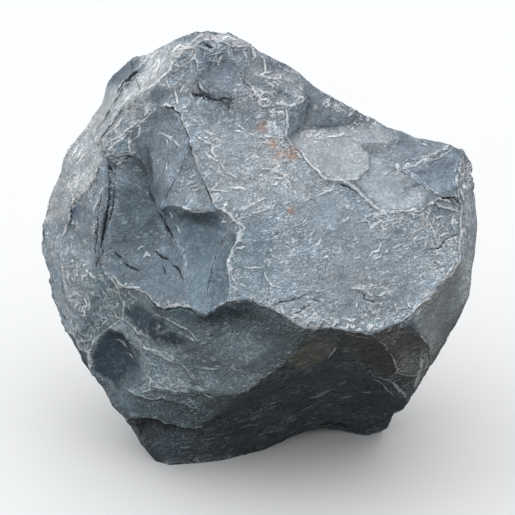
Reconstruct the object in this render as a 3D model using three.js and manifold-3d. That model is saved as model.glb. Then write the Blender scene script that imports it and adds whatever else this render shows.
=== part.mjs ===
// Landscape boulder: one broken block of blue-grey slate that rests on a flat base.
// Millimetres, +Z up. The front faces -Y. About 580 wide, 457 deep and 592 high.
// The broken faces are skins stretched between ridge lines, like a net between cords.
import * as THREE from 'three';
import { ConvexHull } from 'three/addons/math/ConvexHull.js';
import { ImprovedNoise } from 'three/addons/math/ImprovedNoise.js';
import Module from 'manifold-3d';

// Observer of the front: looks down by this angle at a point this high above the base.
const SIGHT_TILT = 24;
const SIGHT_HEIGHT = 280;

// Middle of the block, from which every face can be seen.
const HEART = new THREE.Vector3(-20, 10, 255);

// Spacing of points along a ridge, and the distance at which two points count as one.
const RIDGE_STEP = 8;
const SAME_POINT = 3;

// Number of directions tried for points of the open faces, and how far they keep from a ridge.
const FACE_DIRECTIONS = 3100;
const RIDGE_CLEARANCE = 9;

// Passes that draw the skins tight between the ridges.
const TIGHTENING_PASSES = 400;

// Unevenness: how far ridges wander and faces swell, and over what length.
const RIDGE_WANDER = 1.5;
const RIDGE_WANDER_LENGTH = 19;
const FACE_SWELL = 2.2;
const FACE_SWELL_LENGTH = 70;
const FINE_SWELL_SHARE = 0.5;
const FINE_SWELL_LENGTH = 35;

// Starts of the second and third unevenness, so that the three directions differ.
const SECOND_START = 40;
const THIRD_START = 80;

// How strongly the nearest ridge points decide where an open face first stands.
const NEARNESS_POWER = 4;

// Side of the block of ground that dresses the base.
const GROUND_SPAN = 1000;

// Height at which the underside is dressed flat.
const BASE_TRIM = 1.5;

// Ridges of the front, each point as right, up and near in the observer's view.
const FRONT_RIDGES = {
  skylineLeft: [
    [-63, 283, 139], [-79, 283, 135], [-98, 276, 129], [-118, 267, 114], [-136, 259, 106],
    [-147, 255, 97], [-162, 259, 61], [-176, 254, 37], [-191, 242, 20], [-202, 229, 16], [-208, 204, 23],
    [-217, 184, 30], [-225, 170, 34], [-238, 154, 32], [-255, 136, 24], [-262, 123, 24], [-265, 106, 19],
    [-274, 89, 11], [-284, 69, 1], [-290, 49, -7], [-295, 27, -12], [-294, 7, -14], [-292, -12, -14],
    [-285, -34, -14], [-279, -61, -14], [-270, -83, -11], [-266, -103, -7], [-260, -112, 0],
    [-247, -135, 3], [-234, -153, 7], [-222, -167, 11], [-212, -183, 11], [-205, -197, 7],
    [-198, -211, 7], [-188, -221, 7], [-176, -234, 3], [-165, -247, -7], [-159, -264, -18],
    [-150, -276, -31],
  ],
  skylineRight: [
    [-63, 283, 139], [-37, 279, 139], [-17, 266, 141], [-1, 253, 141], [9, 252, 137], [28, 244, 133],
    [41, 238, 131], [58, 223, 131], [74, 210, 129], [91, 201, 123], [113, 187, 116], [130, 177, 112],
    [151, 171, 111], [169, 157, 118], [185, 148, 124], [207, 144, 127], [232, 139, 129], [250, 132, 131],
    [265, 122, 124], [275, 113, 114], [278, 99, 108], [284, 86, 103], [285, 67, 100], [286, 34, 100],
    [285, 1, 99], [280, -33, 96], [277, -59, 89], [269, -87, 80], [256, -113, 65], [241, -138, 49],
    [226, -162, 34], [213, -186, 16], [203, -207, -5], [195, -220, -24], [185, -227, -43],
    [184, -237, -68], [179, -249, -100],
  ],
  shoulder: [
    [-63, 283, 139], [-68, 276, 139], [-80, 266, 142], [-97, 255, 141], [-111, 241, 143],
    [-118, 224, 146], [-131, 210, 146], [-147, 199, 141], [-167, 189, 131], [-184, 170, 124],
    [-188, 155, 119], [-197, 138, 112], [-206, 114, 104], [-215, 97, 97], [-233, 76, 81], [-245, 60, 68],
    [-255, 35, 51], [-256, 24, 49], [-262, -8, 38], [-261, -33, 38], [-258, -59, 41], [-249, -83, 35],
    [-247, -121, 14], [-260, -112, 0],
  ],
  stripCrease: [
    [-147, 255, 97], [-156, 224, 114], [-176, 213, 106], [-192, 192, 91], [-204, 173, 80],
    [-220, 146, 66], [-239, 120, 53], [-257, 91, 38], [-270, 60, 22], [-290, 49, -7],
  ],
  shelf: [
    [-147, 199, 141], [-143, 183, 143], [-139, 175, 145], [-151, 164, 137], [-164, 154, 131],
    [-180, 143, 123], [-189, 133, 118], [-193, 122, 114], [-197, 138, 112],
  ],
  ledgeLip: [
    [-193, 122, 114], [-182, 125, 118], [-170, 130, 123], [-161, 128, 124], [-152, 119, 120],
  ],
  rim: [
    [-117, 184, 160], [-105, 180, 166], [-100, 175, 171], [-94, 161, 176], [-88, 147, 181],
    [-84, 129, 185], [-77, 115, 188], [-75, 99, 191], [-68, 86, 194], [-59, 68, 195], [-52, 54, 198],
    [-43, 48, 199], [-34, 43, 199], [-24, 30, 200], [-23, 15, 203], [-30, 1, 204], [-34, -11, 206],
    [-35, -23, 207], [-34, -41, 209], [-38, -64, 207],
  ],
  crownRib: [
    [-80, 266, 142], [-88, 247, 145], [-93, 229, 148], [-99, 211, 152], [-103, 195, 158],
    [-105, 180, 166],
  ],
  blueChip: [
    [-139, 175, 145], [-128, 184, 152], [-117, 184, 160], [-110, 199, 154], [-118, 224, 146],
  ],
  crownBrow: [
    [-80, 266, 142], [-68, 260, 149], [-58, 252, 154], [-46, 255, 154], [-33, 258, 153], [-17, 256, 150],
    [-5, 254, 145], [-1, 253, 141],
  ],
  crackLip: [
    [-78, 231, 156], [-79, 215, 166], [-75, 200, 177], [-69, 196, 182], [-59, 192, 185], [-51, 191, 184],
    [-42, 194, 180], [-33, 191, 176],
  ],
  crackFloor: [
    [-84, 205, 160], [-77, 190, 164], [-67, 184, 167], [-56, 181, 168], [-46, 181, 169], [-36, 181, 171],
  ],
  crownFacetRight: [
    [-33, 258, 153], [-26, 240, 158], [-23, 220, 164], [-28, 204, 171], [-33, 191, 176],
  ],
  crownFacetTop: [
    [-68, 260, 149], [-75, 247, 152], [-78, 231, 156],
  ],
  crownScoopLeft: [
    [-17, 256, 150], [-22, 241, 156], [-23, 220, 164], [-17, 208, 165], [-5, 197, 166],
  ],
  crownScoopRight: [
    [-1, 253, 141], [8, 245, 146], [10, 230, 152], [4, 218, 157], [-3, 207, 162], [-5, 197, 166],
  ],
  ledgeBack: [
    [10, 230, 152], [22, 229, 145], [39, 232, 137], [54, 225, 133], [58, 223, 131],
  ],
  ledgeFront: [
    [4, 218, 157], [19, 217, 154], [28, 220, 152], [41, 219, 146], [54, 209, 145], [63, 197, 142],
    [64, 190, 141],
  ],
  notchTop: [
    [-5, 197, 166], [10, 190, 166], [22, 187, 165], [35, 184, 164], [42, 183, 164], [50, 187, 160],
    [58, 193, 153], [64, 190, 141],
  ],
  notchLeft: [
    [35, 184, 164], [37, 173, 165], [37, 158, 166], [34, 142, 169],
  ],
  notchCorner: [
    [64, 190, 141], [61, 174, 137], [58, 158, 134],
  ],
  notchFloor: [
    [34, 142, 169], [44, 148, 152], [58, 158, 134], [78, 158, 126], [101, 160, 119],
  ],
  notchBack: [
    [64, 190, 141], [74, 186, 137], [83, 179, 131], [92, 169, 124], [101, 160, 119], [113, 159, 115],
    [122, 167, 112], [130, 177, 111],
  ],
  faceTop: [
    [34, 142, 169], [48, 130, 171], [57, 121, 171], [66, 111, 172], [77, 99, 173], [87, 90, 175],
    [106, 88, 173], [122, 78, 173], [140, 61, 175], [157, 50, 175], [171, 47, 173], [186, 48, 171],
    [208, 50, 166], [223, 60, 161],
  ],
  ovalRight: [
    [113, 159, 115], [122, 141, 126], [132, 129, 134], [143, 117, 141], [144, 108, 148], [139, 98, 156],
    [128, 87, 165], [122, 78, 173],
  ],
  lensArc: [
    [143, 117, 141], [152, 117, 139], [163, 120, 137], [173, 128, 133], [181, 139, 129], [185, 148, 124],
  ],
  wedgeTop: [
    [186, 104, 149], [202, 109, 150], [217, 114, 150], [230, 120, 148], [241, 125, 143], [250, 132, 131],
  ],
  wedgeSide: [
    [186, 104, 149], [198, 93, 149], [208, 82, 148], [218, 73, 146], [225, 68, 145], [233, 67, 142],
    [244, 74, 138], [257, 81, 133],
  ],
  cornerLens: [
    [223, 60, 160], [234, 64, 150], [247, 63, 143], [258, 59, 139], [262, 59, 141],
  ],
  cornerLip: [
    [223, 60, 160], [233, 55, 158], [246, 53, 154], [263, 49, 146],
  ],
  rightEdge: [
    [265, 122, 124], [260, 110, 130], [257, 96, 133], [257, 81, 133], [262, 59, 141], [263, 49, 146],
    [262, 23, 150], [261, 5, 153], [261, -6, 154], [258, -17, 157], [247, -32, 166], [230, -42, 180],
  ],
  brow: [
    [-38, -64, 207], [-24, -63, 214], [-11, -60, 218], [1, -68, 218], [9, -70, 218], [21, -77, 218],
    [34, -83, 219], [48, -89, 218], [65, -95, 218], [85, -97, 215], [104, -98, 212], [121, -103, 212],
    [142, -103, 210], [164, -98, 204], [184, -90, 199], [196, -80, 194], [207, -70, 189], [220, -57, 184],
    [230, -42, 180],
  ],
  browLeft: [
    [-186, -50, 97], [-165, -48, 116], [-152, -52, 129], [-141, -59, 141], [-128, -72, 154],
    [-122, -72, 158], [-101, -68, 168], [-90, -70, 175], [-78, -76, 183], [-65, -82, 191],
    [-52, -73, 199], [-38, -64, 207],
  ],
  wedgeSlope: [
    [-84, 129, 185], [-89, 118, 177], [-101, 96, 162], [-113, 79, 151], [-124, 56, 139],
  ],
  hollowLip: [
    [-124, 56, 139], [-112, 59, 153], [-93, 56, 174], [-84, 52, 182], [-74, 50, 189], [-58, 48, 196],
    [-52, 54, 198],
  ],
  underLip: [
    [-104, 44, 150], [-92, 43, 159], [-80, 41, 168], [-66, 39, 179], [-49, 39, 191], [-34, 43, 199],
  ],
  valley: [
    [-151, 100, 104], [-145, 86, 95], [-138, 71, 90], [-131, 56, 92], [-124, 39, 101], [-117, 22, 114],
    [-111, 5, 128], [-103, -22, 146],
  ],
  bluePlateLeft: [
    [-112, 59, 153], [-104, 44, 150], [-99, 35, 150], [-95, 13, 152], [-92, -8, 153], [-95, -37, 158],
  ],
  bluePlateRight: [
    [-34, 43, 199], [-34, 27, 196], [-43, 11, 188], [-52, -3, 183], [-59, -20, 180], [-64, -47, 183],
    [-69, -65, 187], [-65, -82, 191],
  ],
  cleftLeft: [
    [-193, 122, 114], [-193, 104, 118], [-194, 83, 119], [-197, 56, 115], [-203, 34, 110], [-208, 13, 106],
    [-211, -8, 100], [-203, -29, 95],
  ],
  nubEdge: [
    [-203, -29, 95], [-195, -39, 97], [-186, -50, 97], [-178, -71, 91], [-175, -89, 84], [-185, -95, 74],
    [-197, -103, 64], [-210, -113, 51], [-216, -120, 46], [-225, -132, 35], [-233, -130, 26],
    [-247, -121, 14],
  ],
  scoopLeft: [
    [-225, -132, 35], [-225, -143, 35], [-224, -158, 31], [-219, -172, 24], [-212, -183, 11],
  ],
  scoopTop: [
    [-197, -103, 64], [-178, -108, 78], [-164, -125, 88], [-153, -143, 92], [-147, -159, 91],
  ],
  scoopBottom: [
    [-147, -159, 91], [-159, -180, 72], [-175, -185, 55], [-189, -181, 42], [-204, -174, 31],
    [-219, -172, 24],
  ],
  frontBand: [
    [-165, -48, 116], [-157, -61, 119], [-148, -73, 123], [-137, -89, 131], [-125, -86, 141],
    [-103, -94, 153], [-91, -108, 154], [-81, -121, 152],
  ],
  frontRib: [
    [-175, -89, 84], [-163, -106, 92], [-153, -124, 100], [-137, -134, 110], [-108, -139, 124],
    [-96, -145, 126], [-88, -160, 120], [-78, -173, 115],
  ],
  keelTop: [
    [-147, -159, 91], [-142, -171, 89], [-138, -179, 89], [-110, -180, 101], [-87, -180, 111],
    [-64, -183, 118], [-43, -188, 120], [-27, -187, 122],
  ],
  keelMid: [
    [-175, -185, 55], [-161, -191, 66], [-138, -192, 78], [-110, -193, 89], [-93, -201, 88],
    [-78, -209, 81], [-63, -217, 70],
  ],
  keel: [
    [-205, -197, 7], [-195, -197, 26], [-181, -212, 27], [-168, -225, 28], [-146, -226, 37],
    [-127, -231, 39], [-105, -236, 41], [-78, -230, 51], [-63, -217, 70], [-46, -202, 92],
    [-27, -187, 122], [-12, -180, 133], [1, -169, 143], [18, -155, 154], [32, -142, 165], [47, -126, 184],
    [63, -110, 202], [68, -99, 214],
  ],
  underKeel: [
    [-164, -233, 12], [-147, -234, 16], [-128, -240, 16], [-106, -245, 18], [-79, -239, 27],
    [-60, -225, 46], [-40, -210, 68], [-21, -198, 89], [-3, -187, 108], [16, -170, 127], [34, -155, 141],
  ],
  footCorner: [
    [-168, -225, 28], [-161, -246, 8], [-152, -266, -12], [-140, -290, -37],
  ],
  cleavageLow: [
    [-80, -257, 5], [-58, -245, 18], [-33, -233, 34], [-3, -220, 46], [16, -212, 46], [35, -198, 49],
    [56, -192, 49],
  ],
  cleavageHigh: [
    [43, -220, -14], [68, -206, 3], [95, -191, 26], [123, -185, 34], [139, -178, 47],
  ],
  olivePlate: [
    [34, -155, 141], [45, -154, 130], [56, -157, 119], [69, -155, 119], [82, -150, 126], [93, -136, 152],
    [101, -124, 173], [105, -111, 194], [104, -98, 212],
  ],
  rightLedge: [
    [143, -154, 101], [156, -164, 85], [169, -169, 78], [182, -176, 62], [192, -188, 38], [203, -207, -5],
  ],
  rightPlate: [
    [142, -103, 210], [152, -114, 188], [164, -125, 168], [174, -141, 142], [183, -154, 122],
    [169, -169, 78],
  ],
  rightPlateLow: [
    [183, -154, 122], [192, -162, 106], [201, -165, 95], [213, -166, 62], [207, -182, 32],
    [213, -186, 16],
  ],
  rightFlank: [
    [184, -90, 199], [196, -96, 185], [203, -105, 168], [217, -118, 133], [225, -128, 111],
    [223, -144, 89], [213, -166, 62],
  ],
  archEdge: [
    [45, -262, -101], [59, -256, -103], [74, -251, -104], [88, -248, -102], [108, -251, -105],
    [126, -255, -111], [140, -259, -106],
  ],
  flankCrease: [
    [-206, 114, 104], [-214, 92, 96], [-216, 72, 92], [-220, 34, 84], [-224, -3, 78], [-227, -34, 73],
    [-229, -66, 65], [-232, -100, 49], [-233, -130, 26],
  ],
  cleavageMid: [
    [-27, -267, -24], [5, -249, -16], [44, -233, -22], [84, -218, -19], [125, -208, -14], [160, -202, 0],
    [192, -188, 38],
  ],
  apronRib: [
    [-141, -59, 141], [-137, -41, 134], [-131, -23, 129], [-124, -8, 130], [-115, -10, 134],
    [-103, -22, 146], [-95, -37, 158], [-90, -70, 175],
  ],
};

// Ridges of the back, each point as x, y and z above the base.
const BACK_RIDGES = {
  backSpine: [
    [-63, -12, 595], [-57, 49, 560], [-51, 106, 518], [-70, 160, 453], [-100, 200, 376], [-116, 217, 306],
    [-111, 211, 203], [-95, 187, 103], [-81, 154, 32], [-76, 143, 0],
  ],
  backRight: [
    [58, -29, 537], [84, 51, 470], [124, 114, 410], [157, 152, 355], [168, 168, 290], [152, 165, 192],
    [127, 146, 95], [108, 135, 0],
  ],
  backLeft: [
    [-208, 61, 476], [-214, 100, 422], [-225, 135, 355], [-219, 152, 276], [-198, 143, 173], [-162, 124, 78],
    [-130, 111, 0],
  ],
  backBelt: [
    [-225, 135, 355], [-170, 185, 340], [-116, 217, 306], [-30, 214, 318], [75, 196, 325], [168, 168, 290],
    [212, 128, 280], [240, 84, 272],
  ],
  backEdgeRight: [
    [266, -40, 440], [258, 10, 404], [246, 62, 345], [240, 84, 272], [222, 90, 178], [194, 74, 88],
    [172, 60, 0],
  ],
  backSlab: [
    [-51, 106, 518], [-10, 128, 470], [26, 166, 410], [52, 186, 366], [75, 196, 325], [60, 198, 250],
    [28, 190, 170], [6, 172, 84], [0, 155, 0],
  ],
  backStep: [
    [-111, 211, 203], [-50, 206, 186], [28, 190, 170], [90, 178, 186], [152, 165, 192],
  ],
  leftRib: [
    [-225, 135, 355], [-268, 66, 330], [-291, 16, 292],
  ],
  leftUnder: [
    [-219, 152, 276], [-262, 80, 224], [-262, 18, 196], [-243, -16, 150], [-212, -10, 90], [-165, 14, 0],
  ],
};

// Outline of the base on the ground, as x and y.
const BASE_OUTLINE = [
  [-140, -84], [-121, -96], [-104, -93], [-81, -91], [-49, -82], [-18, -67], [1, -57], [14, -46], [31, -32],
  [45, -14], [58, 20], [84, 42], [112, 32], [128, 6], [140, -9], [155, -11], [168, -2], [179, 24], [172, 60],
  [149, 105], [108, 135], [54, 150], [0, 155], [-76, 143], [-106, 132], [-130, 111], [-160, 60],
  [-165, 14], [-157, -32], [-149, -64],
];

// Hollows struck out of the open faces: middle as right, up and near, then radius and depth.
const SCOOPS = {
  hollow: { middle: [-125, 140, 145], radius: 46, depth: 8 },
  lowerScoop: { middle: [-184, -146, 62], radius: 52, depth: 13 },
  ovalFace: { middle: [90, 130, 152], radius: 40, depth: 6 },
  lensFace: { middle: [158, 148, 118], radius: 30, depth: 6 },
  crownScoop: { middle: [-8, 232, 152], radius: 20, depth: 6 },
  browScoop: { middle: [-30, -112, 185], radius: 42, depth: 12 },
  bluePlate: { middle: [-75, 10, 170], radius: 40, depth: 9 },
  flankScoop: { middle: [-250, 42, 50], radius: 16, depth: 5 },
};

const noise = new ImprovedNoise();

// A point of the observer's view, in the block's own axes.
function fromSight([right, up, near]) {
  const tilt = THREE.MathUtils.degToRad(SIGHT_TILT);
  const y = up * Math.sin(tilt) - near * Math.cos(tilt);
  const z = up * Math.cos(tilt) + near * Math.sin(tilt) + SIGHT_HEIGHT;
  return new THREE.Vector3(right, y, z);
}

// Smooth unevenness between -1 and 1 about one length apart, in three directions.
function wander(point, length) {
  const { x, y, z } = point.clone().divideScalar(length);
  const first = noise.noise(x, y, z);
  const second = noise.noise(y + SECOND_START, z, x);
  const third = noise.noise(z, x + THIRD_START, y);
  return new THREE.Vector3(first, second, third);
}

// Points along a ridge at even steps, each corner kept and the steps between a little jagged.
function ridgePoints(corners) {
  const points = [corners[0]];
  for (let i = 1; i < corners.length; i += 1) {
    const edge = new THREE.LineCurve3(corners[i - 1], corners[i]);
    const steps = Math.max(1, Math.round(edge.getLength() / RIDGE_STEP));
    for (const point of edge.getPoints(steps).slice(1, -1)) {
      points.push(point.addScaledVector(wander(point, RIDGE_WANDER_LENGTH), RIDGE_WANDER));
    }
    points.push(corners[i]);
  }
  return points;
}

// Every ridge point once, those of the base outline last.
function allRidgePoints() {
  const front = Object.values(FRONT_RIDGES).map((corners) => corners.map(fromSight));
  const back = Object.values(BACK_RIDGES).map((corners) => corners.map((p) => new THREE.Vector3(...p)));
  const ground = BASE_OUTLINE.map(([x, y]) => new THREE.Vector3(x, y, 0));
  ground.push(ground[0]);
  const kept = [];
  for (const corners of [...front, ...back, ground]) {
    for (const point of ridgePoints(corners)) {
      if (kept.every((other) => other.distanceTo(point) > SAME_POINT)) {
        kept.push(point);
      }
    }
  }
  return kept;
}

// Directions spread evenly over a sphere, on a spiral from pole to pole.
function evenDirections(count) {
  const turn = Math.PI * (3 - Math.sqrt(5));
  const directions = [];
  for (let i = 0; i < count; i += 1) {
    const polar = Math.acos(1 - (2 * (i + 0.5)) / count);
    directions.push(new THREE.Vector3().setFromSphericalCoords(1, polar, turn * i));
  }
  return directions;
}

// Points of the open faces: each stands as far from the heart as the ridge points near its direction.
function facePoints(ridges) {
  const rays = ridges.map((point) => {
    const ray = point.clone().sub(HEART);
    const reach = ray.length();
    return { direction: ray.divideScalar(reach), reach };
  });
  const points = [];
  for (const direction of evenDirections(FACE_DIRECTIONS)) {
    let weight = 0;
    let reach = 0;
    let clear = true;
    for (const ray of rays) {
      const apart = ray.direction.distanceTo(direction);
      clear = clear && apart * ray.reach > RIDGE_CLEARANCE;
      const pull = 1 / apart ** NEARNESS_POWER;
      weight += pull;
      reach += pull * ray.reach;
    }
    if (clear) {
      points.push(HEART.clone().addScaledVector(direction, reach / weight));
    }
  }
  return points;
}

// Triangles over all points: the convex hull of their directions, seen from the heart.
function triangulate(points) {
  const order = new Map();
  const directions = points.map((point, i) => {
    const direction = point.clone().sub(HEART).normalize();
    order.set(direction, i);
    return direction;
  });
  const hull = new ConvexHull().setFromPoints(directions);
  return hull.faces.map((face) => [0, 1, 2].map((i) => order.get(face.getEdge(i).head().point)));
}

function neighboursOf(count, triangles) {
  const neighbours = Array.from({ length: count }, () => new Set());
  for (const [a, b, c] of triangles) {
    neighbours[a].add(b).add(c);
    neighbours[b].add(c).add(a);
    neighbours[c].add(a).add(b);
  }
  return neighbours.map((set) => [...set]);
}

// Draws each open face tight: its points move to the mean of their neighbours, ridges stay.
function tighten(points, neighbours, firstFree) {
  for (let pass = 0; pass < TIGHTENING_PASSES; pass += 1) {
    for (let i = firstFree; i < points.length; i += 1) {
      const mean = new THREE.Vector3();
      for (const j of neighbours[i]) {
        mean.add(points[j]);
      }
      points[i].copy(mean.divideScalar(neighbours[i].length));
    }
  }
}

function geometryOf(points, triangles) {
  const geometry = new THREE.BufferGeometry().setFromPoints(points);
  geometry.setIndex(triangles.flat());
  geometry.computeVertexNormals();
  return geometry;
}

// Outward direction of the skin at each point.
function outwards(points, triangles) {
  const normals = geometryOf(points, triangles).getAttribute('normal');
  return points.map((_, i) => new THREE.Vector3().fromBufferAttribute(normals, i));
}

// Presses a round hollow into the open face points near its middle.
function pressScoop(points, normals, firstFree, scoop) {
  const middle = fromSight(scoop.middle);
  for (let i = firstFree; i < points.length; i += 1) {
    const share = points[i].distanceTo(middle) / scoop.radius;
    if (share < 1) {
      points[i].addScaledVector(normals[i], -scoop.depth * (1 - share * share));
    }
  }
}

// Swells and sinks every point well above the base a little.
function swell(points, normals) {
  points.forEach((point, i) => {
    const clearOfBase = THREE.MathUtils.smoothstep(point.z, 0, FACE_SWELL_LENGTH);
    const broad = wander(point, FACE_SWELL_LENGTH).x;
    const fine = wander(point, FINE_SWELL_LENGTH).y;
    const amount = broad + FINE_SWELL_SHARE * fine;
    point.addScaledVector(normals[i], FACE_SWELL * amount * clearOfBase);
  });
}

const wasm = await Module();
wasm.setup();

// The same closed shape as a solid that can be cut.
function solidOf(points, triangles) {
  const vertProperties = new Float32Array(points.flatMap((point) => point.toArray()));
  const triVerts = new Uint32Array(triangles.flat());
  return new wasm.Manifold(new wasm.Mesh({ numProp: 3, vertProperties, triVerts }));
}

// Ground under the block, as a solid with its top at the height of the trim.
function groundSolid() {
  const box = new THREE.BoxGeometry(GROUND_SPAN, GROUND_SPAN, GROUND_SPAN);
  box.translate(0, 0, BASE_TRIM - GROUND_SPAN / 2);
  const corners = new Map();
  const points = [];
  const position = box.getAttribute('position');
  const order = [];
  for (let i = 0; i < position.count; i += 1) {
    const point = new THREE.Vector3().fromBufferAttribute(position, i);
    const key = point.toArray().join();
    if (!corners.has(key)) {
      corners.set(key, points.length);
      points.push(point);
    }
    order.push(corners.get(key));
  }
  const index = Array.from(box.getIndex().array, (i) => order[i]);
  const triangles = [];
  for (let i = 0; i < index.length; i += 3) {
    triangles.push(index.slice(i, i + 3));
  }
  return solidOf(points, triangles);
}

function boulderGeometry() {
  const ridges = allRidgePoints();
  const points = [...ridges, ...facePoints(ridges)];
  const triangles = triangulate(points);
  const neighbours = neighboursOf(points.length, triangles);
  tighten(points, neighbours, ridges.length);
  const normals = outwards(points, triangles);
  for (const scoop of Object.values(SCOOPS)) {
    pressScoop(points, normals, ridges.length, scoop);
  }
  swell(points, normals);
  const cut = solidOf(points, triangles).subtract(groundSolid()).getMesh();
  const geometry = new THREE.BufferGeometry();
  geometry.setAttribute('position', new THREE.Float32BufferAttribute(cut.vertProperties, 3));
  geometry.setIndex(Array.from(cut.triVerts));
  geometry.computeBoundingBox();
  const box = geometry.boundingBox;
  const middle = box.getCenter(new THREE.Vector3());
  geometry.translate(-middle.x, -middle.y, -box.min.z);
  const faceted = geometry.toNonIndexed();
  faceted.computeVertexNormals();
  return faceted;
}

const slate = new THREE.MeshStandardMaterial({ color: 0x8a949b, roughness: 0.85, metalness: 0 });
const boulder = new THREE.Mesh(boulderGeometry(), slate);
boulder.name = 'boulder';

const part = new THREE.Group();
part.name = 'landscape_boulder';
part.add(boulder);

export default part;
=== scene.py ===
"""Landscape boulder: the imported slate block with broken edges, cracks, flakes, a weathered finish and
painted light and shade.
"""

import math

import bpy
import numpy as np
from mathutils import Matrix, Vector


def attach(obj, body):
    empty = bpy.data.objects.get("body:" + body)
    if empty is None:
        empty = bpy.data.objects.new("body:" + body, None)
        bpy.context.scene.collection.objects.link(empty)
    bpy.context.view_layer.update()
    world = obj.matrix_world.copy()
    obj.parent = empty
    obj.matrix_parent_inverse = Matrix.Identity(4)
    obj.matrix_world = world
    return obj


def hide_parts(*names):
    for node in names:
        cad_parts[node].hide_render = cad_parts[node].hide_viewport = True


bl_info = {
    "name": "Landscape boulder",
    "version": (1, 0, 0),
    "blender": (4, 5, 0),
    "location": "3D View > Sidebar > Boulder",
    "description": "Dresses a packed slate boulder and sets it on a pale floor",
    "category": "Object",
}

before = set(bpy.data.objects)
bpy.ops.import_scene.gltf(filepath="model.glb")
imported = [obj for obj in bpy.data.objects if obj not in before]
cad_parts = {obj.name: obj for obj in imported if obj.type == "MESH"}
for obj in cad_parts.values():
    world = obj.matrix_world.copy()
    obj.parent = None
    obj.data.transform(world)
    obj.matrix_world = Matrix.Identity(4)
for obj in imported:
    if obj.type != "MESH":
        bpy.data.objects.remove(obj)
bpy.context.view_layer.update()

MM = 0.001
STONE_NODE = "boulder"

# Lengths in mm stand for far away, and for too short to matter.
FAR = 1e3
TINY = 1e-12

# Observer of the front: looks down by this angle at the aim point, from this far away.
SIGHT_TILT = math.radians(24)
SIGHT_DISTANCE = 3000.0
AIM = np.array([3.7, 5.4, 269.2])
RIGHT = np.array([1.0, 0.0, 0.0])
UP = np.array([0.0, math.sin(SIGHT_TILT), math.cos(SIGHT_TILT)])
TOWARD = np.array([0.0, -math.cos(SIGHT_TILT), math.sin(SIGHT_TILT)])
VIEW_WIDTH = 697.0
SENSOR_WIDTH = 36.0

# Large odd numbers that scramble lattice corners, and what seeds add to them.
CORNER_FACTORS = np.array([374761393, 668265263, 2147483029], dtype=np.uint32)
MIX_FACTORS = np.array([2246822519, 3266489917], dtype=np.uint32)
SEED_STEP = 7919
SEED_START = 17
SEED_SHIFT = 3.7
HALF_RANGE = 2147483647.5
CORNERS = np.array([(x, y, z) for x in (0, 1) for y in (0, 1) for z in (0, 1)])
NEIGHBOURS = np.array([(x, y, z) for x in (-1, 0, 1) for y in (-1, 0, 1) for z in (-1, 0, 1)])
LATTICE_TURN = np.array(Matrix.Rotation(0.6, 3, "X") @ Matrix.Rotation(0.9, 3, "Z"))

# Noises of the stone: size in mm, seed, and layers, each half as long as the one before.
NOISES = {
    "line_aside": (11.0, 41, 1),
    "line_aside_fine": (4.5, 42, 1),
    "line_along": (11.0, 43, 1),
    "line_along_fine": (4.5, 44, 1),
    "worn": (38.0, 71, 2),
    "bend_x": (42.0, 91, 3),
    "bend_y": (42.0, 95, 3),
    "bend_z": (42.0, 99, 3),
    "chip": (30.0, 123, 2),
    "rift": (40.0, 125, 1),
    "cleavage": (9.0, 5, 3),
    "swell": (36.0, 11, 3),
    "scarred": (95.0, 61, 1),
    "scar": (72.0, 51, 1),
    "scar_bend": (21.0, 52, 1),
    "small_scar": (27.0, 53, 1),
    "small_scar_bend": (9.0, 54, 1),
    "flake": (52.0, 21, 3),
    "grain": (6.5, 31, 1),
    "fine_grain": (3.4, 32, 1),
    "nick": (12.0, 35, 1),
    "fine_nick": (5.5, 36, 1),
}

# Spans over which a share of the stone's maps goes from 0 to 1, of turns to the eye or up, noise, or mm.
SPANS = {
    "front": (0.06, 0.3),
    "turned": (-0.4, 0.06),
    "limb": (-0.4, -0.05),
    "worn": (-0.25, 0.35),
    "chip": (0.25, 0.7),
    "rift": (0.7, 0.9),
    "calm": (-0.3, 0.3),
    "under": (-0.1, 0.5),
    "soil_and_shade": (-0.05, 0.6),
    "scarred": (-0.35, 0.35),
    "above_base": (0.6, 14.0),
    "side_light": (0.3, 0.8),
    "sideways_up": (-0.4, 0.1),
    "strip": (0.35, 0.7),
    "strip_up": (-0.3, 0.0),
    "lower": (-230.0, -190.0),
    "fleck": (-9.0, 6.0),
}

# Rounding of the net: bends in degrees that count as ridges, passes, heights in mm of the base, and digits to
# which corners count as the same.
EVENED_BEND = 14.0
EVENED_PASSES = 2
RIDGE_BENDS = (12.0, 48.0)
RIDGE_HOLD = 4.0
RIDGE_FOOT = 1.0
BASE_ZONE = 0.5
BROAD_PASSES = 12
SHARP_ANGLE = math.radians(42)
SOLID_DIGITS = 3
GRID_DIGITS = 4

# Points slide on to a drawn line where they are held less, face the eye more, and lie closer than these.
FREE_HOLD = 0.3
FREE_FACING = 0.25
DRAW_REACH = 6.0
DRAW_SHARE = 0.5

# Drawn lines: waver and zone in mm, share of the zone at full strength, least width at the ends, layers of
# maps over which they are spread, and mm between the stops that tell how far apart they lie.
WAVER = 1.5
FINE_WAVER = 0.7
LINE_ZONE = 5.0
LINE_CORE = 0.6
LEAST_TAPER = 0.5
END_TAPER = 1e-3
MOST_SIDE = 50.0
LINE_LAYERS = {"crack": 3, "edge": 4, "scratch": 4, "chip": 1, "rift": 1}
LINE_STOP = 2.0
OUTLINE_ZONE = 12.0

# Half width of a crushed line in mm, at no brightness and more for full brightness.
CRUSHED_HALF_WIDTH = 1.0
CRUSHED_WIDENING = 0.8

# Zones in mm of the drawn forms, and how much further a high crest lifts its faces for each mm of its rise.
CREST_ZONE = 60.0
CREST_SPREAD = 3.0
STEP_ZONES = 3.0
STEP_EDGE = 0.1
CRACK_ZONE = 12.0
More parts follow.
